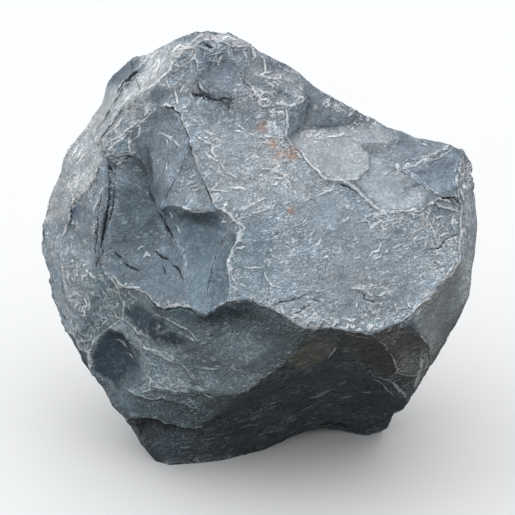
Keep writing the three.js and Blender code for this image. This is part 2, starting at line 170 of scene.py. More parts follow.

# Reach in mm and steps along the net of crushed ridges, the zone beside them, and the painted shade in folds.
WHITE_SPREAD = (2.6, 5)
ZONE_SPREAD = (7.0, 9)
FOLD_SPREAD = (4.0, 4)
ZONE_GAIN = 2.0
RIDGE_WHITE = 0.8
RIDGE_WHITE_LESS = 0.6
CREST_WHITE = 0.5
CREST_WHITE_FADE = 2.4
CREST_ZONE_FADE = 7.0

# Fracture faces of the sides that are not drawn: sizes in mm, shares of tone, seeds. The side share is
# painted
# light: faces turned to the left or right are made lighter.
CELL_SIZE = 105.0
CELL_BEND = 12.0
CELL_SCATTER = 0.42
CELL_LIFT = 6.0
LIFT_PASSES = 2
RIFT_DEPTH = 3.0
RIFT_WIDTH = 2.4
BORDER_HALF_WIDTHS = {"chip": 1.5, "rift": 1.3}
CHIP_NOISE = 0.9
RIFT_NOISE = 0.5
CELL_TONE = 0.14
SIDE_LIGHT = 0.25
CELL_CALM = 0.9
CELL_SEED = 103
LEAN_SEEDS = (111, 112, 113)
PAIR_SEED = 121
SIDE_SEED = 131
TONE_SEED = 141
CALM_SEED = 151

# Roughness of the stone: stretch of the splitting marks and flakes, and shares of the finer noises.
GRAIN_WAYS = {"face": 22.0, "strip": 54.0, "front": -32.0, "under": 24.0}
SPLIT_STRETCH = np.array([7.0, 1.0, 1.6])
SPLIT_LEAST = 0.35
SCAR_BEND = 0.25
SMALL_SCAR_BEND = 0.3
SCAR_MOST = 0.6
SCAR_LEAST = 0.25
SCAR_WHITE = 0.42
SCAR_WHITE_FADE = 0.035
FLAKE_STRETCH = np.array([0.8, 1.0, 1.25])
FLAKE_COUNT = 2.6
FLAKE_GAIN = 0.45
FLAKE_RISE = 0.22
FINE_GRAIN = 0.7
FINE_NICK = 0.5
NICK_START = 0.05
LIMB_LOSS = 0.7

# Other shares of the maps: flecks of the undrawn sides, and how far a rust spot reaches in radii.
BARE_FLECK = 0.3
RUST_CORE = 0.2
RUST_REACH = 1.6

# Clouds of the finish: size in metres, detail, roughness, bend.
CLOUDS = {
    "broad": (0.06, 4.0, 0.6, 0.3),
    "mottle": (0.016, 5.0, 0.62, 0.3),
    "speck": (0.0028, 2.0, 0.6, 0.0),
    "patch": (0.03, 3.0, 0.6, 0.6),
    "curl": (0.014, 1.0, 0.5, 1.4),
    "broken": (0.008, 1.0, 0.5, 0.0),
    "flake": (0.024, 4.0, 0.55, 0.8),
}

# Strokes of the grain along each way: length and width in metres. The cloud is drawn out to that size.
STROKES = {
    "face": (0.0098, 0.0028),
    "strip": (0.02, 0.003),
    "front": (0.0098, 0.0029),
    "under": (0.02, 0.0028),
}
STREAK_CLOUD = (1.0, 2.0, 0.5, 0.5)

# Maps of the stone that the finish reads as they are.
PLAIN_MAPS = ("white", "fleck", "rust", "soil_and_shade", "edge_zone", "hollow", "strip", "lower", "under", "calm")

# Ramps of the finish: from low and high of a map or noise to the start and end of what it does.
RAMPS = {
    "stroke": (0.0, 0.09, 1.0, 0.0),
    "vein": (0.025, 0.08, 1.0, 0.0),
    "rough_patch": (0.38, 0.58, 0.1, 1.0),
    "calm_strokes": (0.0, 1.0, 1.0, 0.3),
    "broad_tone": (0.3, 0.7, 0.9, 1.1),
    "mottle_tone": (0.25, 0.75, 0.85, 1.15),
    "speck_tone": (0.25, 0.75, 0.76, 1.24),
    "stroke_tone": (0.0, 1.0, 0.8, 2.0),
    "split_tone": (0.5, 1.0, 0.85, 2.1),
    "dust": (0.35, 0.65, 0.0, 0.7),
    "soil_and_shade": (0.2, 0.6, 0.6, 0.95),
    "rust": (0.34, 0.56, 0.1, 0.7),
    "crushed_tint": (0.0, 0.8, 0.6, 0.85),
    "fleck_patch": (0.3, 0.7, -0.6, 0.4),
    "fleck_zone": (0.0, 0.9, 0.0, 1.0),
    "fleck_least": (0.0, 1.0, 0.8, 0.68),
    "fleck": (0.0, 0.03, 0.0, 1.0),
    "curl": (0.02, 0.05, 1.0, 0.0),
    "curl_shade": (0.01, 0.03, 1.0, 0.0),
    "curl_breaks": (0.47, 0.54, 0.0, 1.0),
    "curl_step": (0.46, 0.54, 0.0, 1.0),
    "thread_shade": (0.02, 0.05, 1.0, 0.0),
    "thread_breaks": (0.51, 0.57, 0.0, 1.0),
    "thread_zone": (0.0, 1.0, 0.15, 1.0),
    "thin_under": (0.0, 0.8, 1.0, 0.45),
    "bruise": (0.45, 0.7, 0.0, 0.65),
    "ragged_side": (0.3, 0.7, 0.35, -0.25),
    "edge_breaks": (0.55, 0.8, 0.0, 1.0),
    "chalk_breaks": (0.34, 0.46, 0.55, 1.5),
    "chalk_shade": (0.34, 0.5, 0.15, 0.5),
    "chalk_under": (0.0, 0.8, 1.0, 0.65),
    "crack_side": (0.3, 0.7, -0.15, 0.3),
    "flake_rise": (0.0, 0.25, 0.0, 1.0),
    "calm_relief": (0.0, 1.0, 1.0, 0.5),
}

# Drawn lines of the finish, in half widths: full up to the first, gone at the second, painted shadows beside.
CHALK_LINE = (0.65, 1.0)
SHADE_LINE = (0.3, 0.9)
SHADE_ASIDE = 1.9
CRACK_LINE = (0.35, 0.95)

# Middle of a noise, and where beside it the painted shadows of curls and veins lie.
NOISE_MIDDLE = 0.5
CURL_BESIDE = 0.565
VEIN_BESIDE = 0.615

# Shares of the finish: how much each of these weighs.
EDGE_FLECKS = 0.6
UNDER_FLECKS = 0.25
THIN_SHADE = 0.6
SPECK_RAGGED = 0.9
MOTTLE_RAGGED = 1.4
COME_AND_GO = 1.8
HOLLOW_SHADE = 0.5
CRACK_SHADE = 0.88
FLAKE_STEPS = 8.0

# Fine relief of the finish: weights, their sum at rest, and the height of one unit in metres.
RELIEF = {
    "stroke": 0.5, "speck": 0.75, "mottle": 1.3, "flake": 0.28, "curl": 0.25, "thin": 0.2, "chalk": 0.3,
}
RELIEF_REST = 1.9
RELIEF_HEIGHT = 0.0038

# Shine of the slate: spans of the mottle, less and more roughness at its ends, specular level.
ROUGH_SPAN = (0.3, 0.7)
ROUGH_LESS = 0.08
ROUGH_MORE = 0.1
SPECULAR = 0.35

# Stage: cloud, darkest share and roughness of the floor; lean, span and colour of the sky.
FLOOR_CLOUD = (0.5, 3.0, 0.55, 0.0)
FLOOR_DARKEST = 0.97
FLOOR_ROUGHNESS = 0.9
SKY_LEAN = (-0.28, -0.12, 0.95)
SKY_SPAN = (-0.25, 1.0)
SKY_COLOUR = (0.97, 0.985, 1.0, 1.0)
WHITE = (1.0, 1.0, 1.0, 1.0)

# The drawn lines and outlines below are right and up of the aim in mm as seen, in turn for each point.

# Broken edges of the front: whiteness, rise in mm, line.
CRESTS = {
    "shoulder_edge": (0.35, 1.5, [-66, 307, -71, 300, -83, 289, -101, 278, -116, 263, -124, 246, -137, 231,
        -154, 219, -174, 208, -191, 187, -196, 171, -204, 154, -213, 128, -221, 110, -239, 89, -250, 71,
        -259, 45]),
    "left_inner_edge": (0.5, 1, [-265, 2, -263, -24, -260, -49]),
    "shelf_edge": (0.75, 2.2, [-154, 219, -150, 202, -145, 194, -158, 182, -171, 171, -187, 159, -196, 148,
        -200, 137, -204, 154]),
    "shelf_end": (0.8, 1, [-171, 171, -174, 148, -164, 136]),
    "ledge_lip": (0.9, 1.5, [-200, 137, -189, 140, -177, 145, -167, 144, -158, 135]),
    "hollow_rim": (0.8, 1.2, [-122, 205, -110, 201, -105, 196, -99, 181, -93, 167, -89, 148, -82, 133,
        -79, 116, -72, 102, -63, 83, -55, 68, -45, 62, -36, 56, -25, 43, -24, 26, -32, 12, -36, -2,
        -37, -14, -36, -35, -40, -59]),
    "crown_rib": (0.1, 0.8, [-83, 289, -91, 270, -97, 251, -104, 232, -108, 216, -110, 201]),
    "crown_upper_line": (0.9, 2, [-116, 270, -110, 281, -93, 283, -83, 286, -72, 294, -56, 294, -37, 283,
        -24, 282, -7, 281]),
    "crown_lower_line": (0.6, 2.2, [-155, 220, -135, 236, -124, 247, -116, 259, -99, 262, -85, 270,
        -76, 259, -63, 266]),
    "crown_left_facet": (0.6, 0.8, [-83, 286, -82, 277, -85, 270, -78, 250, -74, 239]),
    "chip_edge": (0.5, 2.2, [-145, 194, -135, 204, -122, 205, -116, 220, -124, 246]),
    "crown_brow": (0.25, 2.5, [-83, 289, -71, 283, -60, 275, -48, 279, -35, 282, -17, 279, -5, 277,
        -1, 275]),
    "crown_facet_right": (0.1, 2.5, [-35, 282, -26, 263, -24, 243, -29, 227, -35, 213]),
    "scoop_arc": (0.9, 2.2, [-1, 275, 6, 271, 10, 263, 10, 252, 5, 240]),
    "scoop_left": (0.15, 2.2, [-17, 279, -22, 265, -24, 243, -17, 231, -5, 219]),
    "ledge_back": (0.2, 1, [12, 252, 24, 251, 41, 254, 58, 246, 62, 243]),
    "ledge_front": (0.55, 2.5, [5, 240, 21, 239, 30, 242, 44, 240, 58, 229, 67, 217, 68, 209]),
    "ledge_side": (0.6, 0.8, [24, 239, 33, 236, 30, 250]),
    "upper_flake": (0.2, 0.8, [41, 232, 62, 220, 71, 213]),
    "notch_top": (0.8, 2.5, [-5, 219, 12, 212, 24, 208, 37, 205, 45, 204, 53, 208, 62, 213, 68, 209]),
    "notch_left": (0.85, 2.5, [37, 205, 40, 193, 40, 178, 37, 160]),
    "notch_back": (0.45, 2.5, [68, 209, 78, 205, 87, 197, 97, 186, 106, 177, 118, 175, 128, 183, 136, 194]),
    "notch_floor": (0.3, 1, [37, 160, 47, 166, 62, 175, 82, 175, 106, 177]),
    "face_top": (0.95, 3.2, [37, 160, 52, 148, 62, 139, 71, 128, 82, 116, 93, 106, 113, 104, 131, 93,
        150, 75, 167, 63, 182, 60, 198, 62, 221, 63, 236, 74]),
    "oval_right": (0.2, 4, [118, 175, 128, 158, 139, 145, 151, 133, 152, 124, 147, 113, 136, 102, 131, 93]),
    "oval_top": (0.35, 2.5, [62, 175, 82, 174, 109, 171, 125, 160]),
    "oval_under": (0.5, 2.5, [93, 106, 109, 104, 125, 104, 136, 106, 147, 116]),
    "lens_arc": (0.12, 4, [151, 133, 160, 133, 171, 136, 182, 144, 190, 155, 194, 164]),
    "lens_inner": (0.12, 1.8, [128, 158, 144, 151, 167, 154, 190, 160]),
    "wedge_top": (0.6, 4.5, [197, 120, 213, 125, 229, 131, 243, 136, 254, 141, 262, 148]),
    "wedge_side": (0.6, 4.5, [197, 120, 209, 108, 220, 97, 229, 87, 237, 82, 246, 81, 256, 87, 270, 95]),
    "corner_lens": (0.7, 1.2, [236, 74, 247, 78, 260, 76, 271, 72, 275, 72]),
    "corner_lip": (0.7, 1.2, [236, 74, 247, 68, 260, 66, 277, 62]),
    "right_edge": (0.85, 1.2, [277, 137, 273, 125, 270, 110, 270, 95, 275, 72, 277, 62, 277, 35, 275, 16,
        275, 3, 273, -7, 262, -24, 246, -35]),
    "brow_edge": (1, 1.2, [-40, -59, -25, -58, -12, -55, 2, -63, 10, -66, 24, -72, 37, -79, 52, -86,
        71, -93, 93, -94, 113, -95, 131, -101, 154, -101, 177, -95, 198, -86, 210, -75, 221, -64, 235, -51,
        246, -35]),
    "brow_second": (0.8, 1.2, [62, -93, 71, -85, 79, -82, 91, -87, 102, -93]),
    "brow_left_edge": (0.75, 1.2, [-191, -41, -171, -40, -158, -44, -147, -52, -135, -66, -128, -66,
        -106, -62, -95, -64, -82, -71, -68, -78, -55, -68, -40, -59]),
    "wedge_slope": (0.05, 2.2, [-89, 148, -94, 136, -106, 112, -118, 93, -129, 68]),
    "hollow_lip": (0.5, 2.5, [-129, 68, -117, 72, -98, 70, -89, 66, -78, 63, -62, 62, -55, 68]),
    "hackle_1": (0.85, 0.8, [-96, 105, -87, 113]),
    "hackle_2": (0.7, 0.7, [-95, 99, -83, 105]),
    "hackle_3": (0.7, 0.7, [-93, 95, -82, 99]),
    "hackle_4": (0.6, 0.7, [-90, 90, -81, 94]),
    "nub_edge": (0.8, 1.2, [-209, -20, -201, -30, -191, -41, -183, -63, -179, -82, -189, -87, -201, -95,
        -213, -105, -219, -112]),
    "lower_left_edge": (0.8, 1, [-259, -99, -250, -105, -243, -114, -239, -122, -227, -128, -227, -150,
        -223, -158]),
    "dark_scoop_top": (0.15, 0.8, [-225, -127, -214, -108, -201, -98, -182, -101, -168, -120, -158, -137,
        -151, -154]),
    "dark_scoop_line": (0.3, 0.6, [-201, -112, -201, -133]),
    "dark_scoop_low": (0.15, 0.8, [-151, -154, -162, -174, -178, -178, -191, -174, -205, -166, -220, -163]),
    "chip_round": (0.6, 1, [-164, -177, -148, -158, -143, -163, -143, -177, -160, -183]),
    "front_band": (0.2, 2.2, [-171, -40, -163, -53, -154, -66, -143, -83, -131, -81, -108, -89, -95, -104,
        -85, -117]),
    "front_rib": (0.2, 2.2, [-179, -82, -167, -99, -158, -118, -141, -129, -112, -135, -99, -141, -91, -156,
        -81, -170]),
    "front_streak": (0.35, 0.6, [-178, -82, -158, -102, -132, -113]),
    "keel_top": (0.4, 2.5, [-151, -154, -145, -166, -141, -174, -113, -177, -90, -177, -66, -181, -44, -186,
        -28, -185]),
    "keel_mid": (0.4, 2.5, [-178, -178, -164, -185, -141, -187, -113, -189, -95, -197, -79, -205,
        -64, -212]),
    "keel_edge": (0.4, 1.5, [-168, -217, -147, -219, -128, -224, -106, -229, -79, -224, -64, -212,
        -47, -198, -28, -185, -12, -178, 2, -167, 20, -154, 35, -140, 51, -124, 68, -108, 74, -97]),
    "olive_plate": (0.4, 2, [36, -152, 48, -151, 59, -154, 72, -151, 86, -147, 98, -133, 108, -121,
        113, -109, 113, -95]),
    "right_ledge": (0.75, 3, [148, -150, 162, -159, 174, -163, 186, -170, 196, -181, 204, -197]),
    "right_plate": (0.65, 2.5, [154, -101, 163, -112, 174, -122, 183, -137, 191, -151, 174, -163]),
    "right_plate_low": (0.65, 1.2, [191, -151, 200, -158, 208, -160, 219, -159, 210, -174, 214, -177]),
    "right_flank": (0.5, 1.2, [198, -86, 209, -93, 216, -101, 228, -113, 235, -122, 231, -139, 219, -159]),
    "cleavage_low": (0.2, 2.2, [-79, -247, -58, -236, -33, -225, -2, -213, 17, -205, 36, -191, 58, -185]),
    "cleavage_high": (0.2, 2.2, [44, -209, 68, -196, 97, -182, 125, -177, 141, -171]),
    "cleavage_mid": (0.1, 1.2, [-26, -255, 6, -237, 44, -221, 85, -206, 125, -197, 160, -191, 196, -181]),
    "foot_ridge": (0.4, 1, [-56, -256, -47, -260, -37, -270]),
    "foot_top": (0.35, 1, [163, -214, 183, -212, 201, -201]),
    "face_flake_left": (0.55, 1, [-36, 48, -3, 59, 20, 68, 35, 82]),
    "face_flake_mid": (0.45, 1, [59, 75, 86, 86, 105, 95]),
    "face_flake_low": (0.4, 0.8, [-35, -6, -17, -14, 6, -12, 30, -1]),
    "face_flake_right": (0.45, 0.8, [154, 56, 171, 48, 190, 52, 209, 48, 227, 56]),
    "face_flake_far": (0.4, 0.8, [233, 48, 242, 30, 236, 13, 247, 2]),
    "face_foot_flake": (0.55, 1, [139, -40, 155, -53, 170, -58, 182, -68, 198, -70]),
    "left_patch_edge": (0.45, 0.8, [-227, 135, -252, 120, -255, 104, -254, 82]),
}

# Cracks of the front: depth and half width in mm, line. Each is carved and painted near black as painted
# shade;
# those named shadow or under are shadows painted below overhanging edges.
CRACKS = {
    "crown_crack": (5, 2.2, [-82, 221, -70, 218, -62, 214, -53, 213, -44, 217, -36, 214]),
    "crown_crack_side": (3.5, 2, [-82, 240, -78, 232, -79, 224]),
    "crown_notch": (4, 2.8, [-71, 289, -66, 285, -60, 281]),
    "chip_crack": (2.5, 1.8, [-122, 204, -114, 201, -106, 196, -102, 187]),
    "rim_crack": (1.5, 1.1, [-104, 191, -98, 174, -91, 155, -86, 137]),
    "rim_crack_low": (1.5, 1.2, [-79, 116, -74, 99, -66, 82, -59, 70]),
    "block_crack": (1.6, 1.2, [-170, 270, -170, 256, -173, 246]),
    "block_foot": (1.2, 0.9, [-156, 254, -166, 242, -178, 231, -187, 220]),
    "strip_line_1": (0.8, 0.6, [-162, 242, -182, 223, -196, 205, -208, 185, -217, 173]),
    "strip_line_2": (0.8, 0.7, [-174, 209, -191, 189, -205, 167, -219, 148]),
    "strip_line_3": (0.8, 0.7, [-227, 145, -240, 132, -251, 121]),
    "strip_notch": (1.2, 1.2, [-162, 240, -159, 229, -158, 223]),
    "cleft_main": (6, 2.8, [-201, 137, -200, 112, -200, 90, -206, 43, -219, -1, -221, -14]),
    "cleft_right": (3, 1.6, [-193, 127, -191, 105, -193, 83, -198, 59, -204, 37]),
    "cleft_left": (2.5, 1.6, [-212, 87, -216, 58, -221, 28, -224, 6]),
    "ledge_shadow": (2.5, 1.8, [-181, 132, -174, 136, -167, 137, -162, 133]),
    "valley_line": (1.5, 1.6, [-147, 89, -133, 63, -122, 39, -113, 17]),
    "lip_shadow": (2.2, 1.6, [-116, 70, -110, 59, -104, 48]),
    "plate_groove": (0.8, 0.7, [-40, 33, -55, 7, -62, -17, -68, -45, -70, -68]),
    "hollow_crack_1": (3.5, 2.6, [-139, 9, -132, 2, -120, -1]),
    "hollow_crack_2": (3.5, 2.6, [-116, -9, -109, -12, -104, -21, -99, -29]),
    "hollow_crack_3": (2.2, 1.5, [-129, -10, -124, -25]),
    "hollow_crack_4": (4, 2.2, [-193, 7, -187, 2, -183, 1]),
    "hollow_crack_5": (3.5, 2.4, [-185, -6, -171, -13, -159, -18]),
    "face_crack": (3, 1.7, [24, -63, 32, -59, 48, -56, 66, -49]),
    "face_crack_2": (2, 1.4, [71, -55, 86, -59]),
    "face_crack_3": (1.5, 1.4, [141, -52, 152, -58, 164, -62]),
    "corner_shadow": (3.5, 2.2, [228, 89, 239, 81, 252, 79, 266, 81, 274, 71]),
    "oval_shadow": (2, 1.6, [109, 101, 122, 95, 133, 89]),
    "brow_shadow_1": (2.5, 1.5, [-150, -53, -135, -68, -128, -70, -99, -66, -83, -75, -70, -82]),
    "keel_shadow": (3, 2.2, [-164, -187, -141, -190, -113, -191, -99, -198, -83, -208]),
    "keel_under": (5, 2.8, [-175, -220, -164, -223, -141, -225, -124, -229, -106, -233, -79, -228,
        -62, -214]),
    "foot_crack": (2, 1.4, [-156, -221, -156, -233, -156, -243]),
    "dark_pit": (4, 3.2, [-263, -79, -260, -85]),
    "small_pit": (2.5, 1.8, [-231, -97, -228, -94]),
    "flank_line": (1, 0.9, [-259, 45, -251, 70, -240, 86]),
    "right_line": (1.5, 1.4, [235, -116, 232, -140]),
    "crown_crack_wide": (5, 3.6, [-86, 221, -79, 219, -71, 218, -62, 214]),
    "face_crack_4": (2, 1.3, [44, -76, 56, -75, 63, -67, 72, -63]),
    "wedge_crack": (0.8, 0.6, [-89, 145, -94, 136, -106, 112, -118, 90, -129, 68]),
    "edge_fissure": (2, 1.4, [224, 10, 236, 12, 246, 13, 252, 21, 260, 26, 274, 35]),
    "crown_line": (2, 1.3, [-24, 240, -17, 233, -10, 229]),
    "foot_flake": (1.6, 1.3, [139, -45, 145, -51, 148, -53, 145, -58]),
    "arch_shadow": (3, 2.5, [82, -225, 101, -225, 122, -231]),
}

# Faces of the front: red, green, blue against the bare slate, smoothness, mm over which the edge fades, and
# outline. Later ones lie on top. The tints are partly the slate's own tone and partly painted light and
# shade:
# faces turned down or under overhanging edges are darker, faces turned up or to the left lighter.
FACETS = {
    "shelf_band": (1.22, 1.27, 1.34, 0, 2, [-155, 219, -124, 246, -83, 251, -79, 220, -99, 186, -116, 202,
        -135, 197, -155, 189, -186, 159, -197, 145, -208, 145, -191, 183]),
    "crown_band": (1.32, 1.36, 1.44, 0, 2, [-40, 208, -24, 243, -2, 229, 14, 228, 39, 208, 37, 162, 6, 178,
        -10, 197]),
    "dark_block": (0.47, 0.52, 0.59, 1, 2, [-171, 271, -150, 274, -162, 243, -181, 231, -202, 237,
        -191, 255]),
    # Partly painted light: the strip faces up and to the left; partly its own paler tone.
    "left_strip": (1.63, 1.58, 1.55, 0, 6, [-105, 294, -82, 289, -116, 265, -124, 246, -154, 220, -191, 187,
        -204, 154, -221, 110, -259, 45, -294, 45, -297, 58, -286, 87, -275, 117, -270, 141, -243, 175,
        -224, 213, -213, 227, -200, 232, -181, 229, -162, 240, -150, 273]),
    "crown_top": (1.74, 1.63, 1.62, 0, 2, [-82, 304, -39, 301, -17, 288, -7, 281, -40, 290, -72, 294]),
    "crown_front": (0.73, 0.79, 0.87, 0.5, 2, [-76, 259, -63, 266, -48, 278, -29, 279, -24, 243, -35, 213,
        -53, 213, -74, 224, -79, 240]),
    "crown_scoop": (0.94, 0.95, 0.98, 1, 5, [-17, 278, -2, 274, 9, 263, 9, 248, -2, 229, -16, 232,
        -22, 251]),
    "cream_patch": (0.98, 0.98, 1.01, 0, 2, [-122, 231, -95, 240, -101, 227, -108, 208, -114, 217]),
    "chip_blue": (0.49, 0.57, 0.65, 1, 2, [-143, 225, -121, 232, -116, 223, -132, 204, -145, 213]),
    "small_blue": (1.26, 1.46, 1.61, 0, 2, [-189, 158, -171, 163, -175, 148, -193, 143]),
    "notch_dark": (1.09, 1.24, 1.37, 1, 2, [39, 204, 53, 208, 67, 212, 62, 175, 44, 160, 39, 163]),
    "notch_light": (0.97, 1.02, 1.08, 1, 2, [68, 210, 87, 200, 98, 185, 112, 177, 63, 175]),
    "skyline_dark": (0.93, 0.98, 1.06, 0.8, 2, [14, 270, 44, 259, 62, 243, 95, 220, 136, 194, 158, 187,
        118, 175, 98, 186, 71, 210, 62, 232, 44, 248, 20, 252]),
    "oval_face": (1.44, 1.41, 1.41, 0.9, 2, [45, 159, 62, 174, 109, 171, 128, 158, 151, 132, 147, 114,
        133, 105, 104, 105, 76, 118]),
    "lens_face": (1.46, 1.45, 1.47, 1, 2, [113, 174, 163, 182, 193, 163, 189, 148, 151, 133, 128, 158]),
    # Painted shade: the band below the lens faces down.
    "lens_band": (0.62, 0.63, 0.67, 1, 2, [129, 155, 144, 150, 167, 152, 190, 159, 182, 144, 160, 135,
        151, 133]),
    "light_blue": (1.41, 1.46, 1.53, 1, 2, [154, 131, 196, 121, 229, 86, 220, 64, 167, 64, 136, 99]),
    "dark_wedge": (1.26, 1.42, 1.6, 1, 2, [197, 120, 243, 135, 262, 147, 275, 132, 270, 99, 246, 83,
        227, 91]),
    "big_face": (1.23, 1.32, 1.41, 0, 2, [-35, 206, 37, 159, 82, 116, 131, 93, 167, 63, 236, 71, 275, 58,
        273, -6, 244, -36, 210, -75, 154, -101, 93, -93, 24, -72, -12, -53, -39, -58, -36, -6, -24, 29,
        -55, 70, -78, 116, -99, 183, -78, 220]),
    "face_warm": (1.5, 1.52, 1.56, 0, 14, [-78, 186, -10, 175, 37, 159, 58, 132, 98, 98, 58, 71, -3, 62,
        -30, 71, -58, 105, -71, 145]),
    "face_blue_left": (0.96, 1.1, 1.2, 0.4, 10, [-29, 40, 14, 43, 25, -6, 6, -52, -26, -55, -35, -6]),
    "face_light_low": (1.11, 1.17, 1.23, 0, 14, [58, -6, 125, -17, 193, -6, 233, -30, 200, -74, 152, -93,
        93, -85, 44, -64]),
    "face_blue_mid": (1.03, 1.11, 1.18, 0.8, 10, [64, 71, 118, 85, 145, 64, 139, 24, 98, 10, 64, 30]),
    "hollow_dark": (0.94, 1.04, 1.13, 0.6, 2, [-155, 189, -135, 197, -110, 183, -93, 145, -131, 68,
        -121, 30, -145, 24, -189, 51, -197, 91, -194, 124, -164, 135]),
    "wedge_face": (0.9, 0.96, 1.02, 0.5, 2, [-89, 145, -79, 116, -58, 71, -97, 71, -128, 70, -105, 112]),
    "hollow_low": (0.6, 0.7, 0.78, 0.6, 2, [-197, 58, -145, 29, -121, 26, -99, -6, -97, -58, -132, -63,
        -159, -40, -200, -25]),
    "blue_facet": (0.66, 0.81, 0.91, 0.9, 2, [-105, 59, -56, 62, -37, 43, -55, 7, -68, -45, -71, -72,
        -95, -62, -97, -1]),
    "groove_side": (0.48, 0.6, 0.69, 1, 2, [-36, 35, -25, 28, -36, -6, -37, -52, -55, -67, -68, -72,
        -66, -41, -53, 5]),
    "left_flank": (1.08, 1.16, 1.23, 0, 4, [-204, 132, -217, -1, -235, -91, -247, -109, -265, -93,
        -285, -20, -293, 35, -259, 40, -221, 108]),
    "flank_oval": (0.65, 0.8, 0.93, 1, 2, [-243, 76, -240, 64, -248, 45, -259, 37, -262, 43, -254, 62]),
    "left_edge_dark": (1.26, 1.29, 1.32, 0, 8, [-293, 48, -281, 43, -275, 17, -278, -6, -289, -6]),
    "nub_rough": (0.65, 0.76, 0.77, 0, 8, [-205, -28, -183, -28, -171, -44, -177, -82, -197, -93,
        -202, -58]),
    # Painted shade: the scoop faces down and to the left.
    "dark_scoop": (0.13, 0.19, 0.24, 1, 3, [-224, -128, -212, -106, -197, -99, -182, -102, -168, -121,
        -152, -152, -168, -175, -189, -179, -200, -166, -223, -152]),
    "front_face": (0.68, 0.79, 0.82, 0, 4, [-177, -47, -145, -53, -128, -68, -68, -81, -36, -62, 1, -63,
        72, -105, 30, -144, -29, -185, -91, -178, -139, -175, -151, -155, -181, -98]),
    "keel_strip": (0.91, 1.13, 1.22, 0, 2, [-202, -182, -139, -177, -29, -187, -78, -223, -106, -229,
        -173, -217]),
    "olive_face": (1.22, 1.25, 1.11, 1, 2, [71, -108, 41, -135, 41, -150, 66, -152, 86, -144, 106, -121,
        99, -110]),
    "right_plate_face": (1.05, 1.03, 0.97, 0, 2, [155, -104, 193, -95, 220, -105, 233, -118, 209, -159,
        191, -154, 174, -124]),
    "under_right": (0.56, 0.59, 0.56, 0, 2, [112, -98, 155, -104, 190, -151, 174, -162, 147, -150,
        125, -125, 108, -121]),
    # Painted shade of the faces turned down.
    "underside": (0.48, 0.56, 0.62, 0, 2, [-173, -220, -106, -233, -76, -225, 6, -166, 40, -139, 66, -154,
        108, -125, 147, -150, 204, -193, 193, -209, 174, -233, 136, -242, 85, -229, -3, -266, -137, -278]),
    "right_face": (1.99, 1.99, 1.93, 0, 4, [246, -37, 273, -9, 296, 24, 285, -52, 263, -104, 214, -177,
        209, -163, 235, -120, 217, -98, 210, -76]),
    "right_sliver": (1.67, 1.67, 1.73, 0, 2, [275, 132, 288, 127, 297, 45, 294, 10, 274, -6, 277, 71,
        271, 99]),
    "cleft_shade": (0.59, 0.68, 0.77, 0, 3, [-206, 125, -197, 135, -194, 91, -201, 56, -209, 24, -217, -6,
        -223, -6, -219, 26, -212, 64]),
    # Painted shadow under the ledge of the nub.
    "front_triangle": (0.15, 0.21, 0.26, 1, 4, [-181, -70, -167, -66, -144, -76, -125, -89, -106, -104,
        -95, -120, -116, -118, -136, -113, -155, -101, -171, -85]),
    "rim_top_shade": (1.08, 1.2, 1.33, 0, 2, [-116, 202, -99, 191, -91, 170, -83, 143, -90, 143, -99, 167,
        -110, 183]),
    "valley_shadow": (0.98, 1.12, 1.23, 0, 5, [-173, 116, -152, 113, -122, 76, -109, 40, -97, 7, -113, 14,
        -128, 40, -143, 74, -162, 99]),
    # Painted shade of the wall where it turns away towards the valley.
    "wall_face": (0.48, 0.58, 0.64, 0.6, 6, [-189, 97, -162, 97, -143, 70, -128, 33, -136, 14, -162, 7,
        -182, 14, -191, 40]),
    "wall_top": (1.25, 1.36, 1.45, 0.6, 6, [-191, 133, -166, 136, -162, 116, -175, 99, -190, 99]),
    "lip_light": (0.92, 1.06, 1.16, 0, 2, [-124, 76, -97, 76, -60, 74, -56, 67, -83, 67, -109, 63,
        -120, 67]),
    "plate_side": (0.7, 0.86, 0.97, 1, 2, [-122, 70, -109, 63, -102, 40, -97, 17, -106, 10, -120, 37,
        -128, 63]),
    "crown_upper_left": (0.55, 0.66, 0.78, 0, 2, [-74, 289, -52, 292, -40, 282, -52, 267, -70, 262,
        -76, 273]),
    "crown_upper_right": (1.18, 1.26, 1.37, 0, 2, [-43, 282, -16, 279, -5, 267, -20, 252, -28, 262,
        -40, 265]),
    "crown_overhang": (0.91, 0.9, 0.92, 0, 2, [-108, 237, -86, 250, -76, 235, -82, 219, -101, 216,
        -108, 219]),
    "skyline_chip": (0.59, 0.64, 0.73, 0, 2, [14, 265, 35, 265, 49, 252, 39, 250, 20, 255]),
    "ledge_top": (1.36, 1.35, 1.39, 0, 2, [5, 243, 32, 250, 56, 243, 66, 231, 56, 219, 39, 223, 14, 235]),
    "ledge_below": (0.89, 0.93, 0.97, 0, 2, [14, 228, 39, 219, 47, 210, 22, 208, 7, 216]),
    "oval_slope": (2, 1.92, 1.9, 0, 2, [58, 164, 72, 173, 114, 171, 129, 162, 102, 162, 76, 154, 62, 147]),
    "wedge_above": (0.69, 0.74, 0.81, 1, 2, [193, 162, 231, 155, 252, 148, 231, 137, 197, 125, 178, 131]),
    "brow_shade": (0.4, 0.54, 0.61, 0, 8, [-127, -68, -99, -64, -71, -75, -56, -68, -17, -60, 6, -64,
        -17, -79, -48, -87, -71, -91, -99, -83]),
    "scoop_light": (0.41, 0.49, 0.53, 1, 6, [-175, -155, -158, -144, -150, -155, -159, -173, -178, -181,
        -191, -178]),
    "left_low": (0.7, 0.84, 0.9, 0, 6, [-217, -6, -202, -25, -201, -58, -197, -94, -224, -125, -246, -109,
        -232, -87]),
    "keel_shade": (1.05, 1.24, 1.33, 0, 3, [-186, -183, -159, -181, -136, -178, -112, -181, -89, -183,
        -67, -187, -43, -190, -29, -190, -48, -198, -71, -198, -97, -196, -125, -191, -152, -193,
        -175, -193]),
    "edge_dark": (0.4, 0.46, 0.5, 0, 2, [-259, -104, -243, -118, -227, -128, -227, -150, -223, -160,
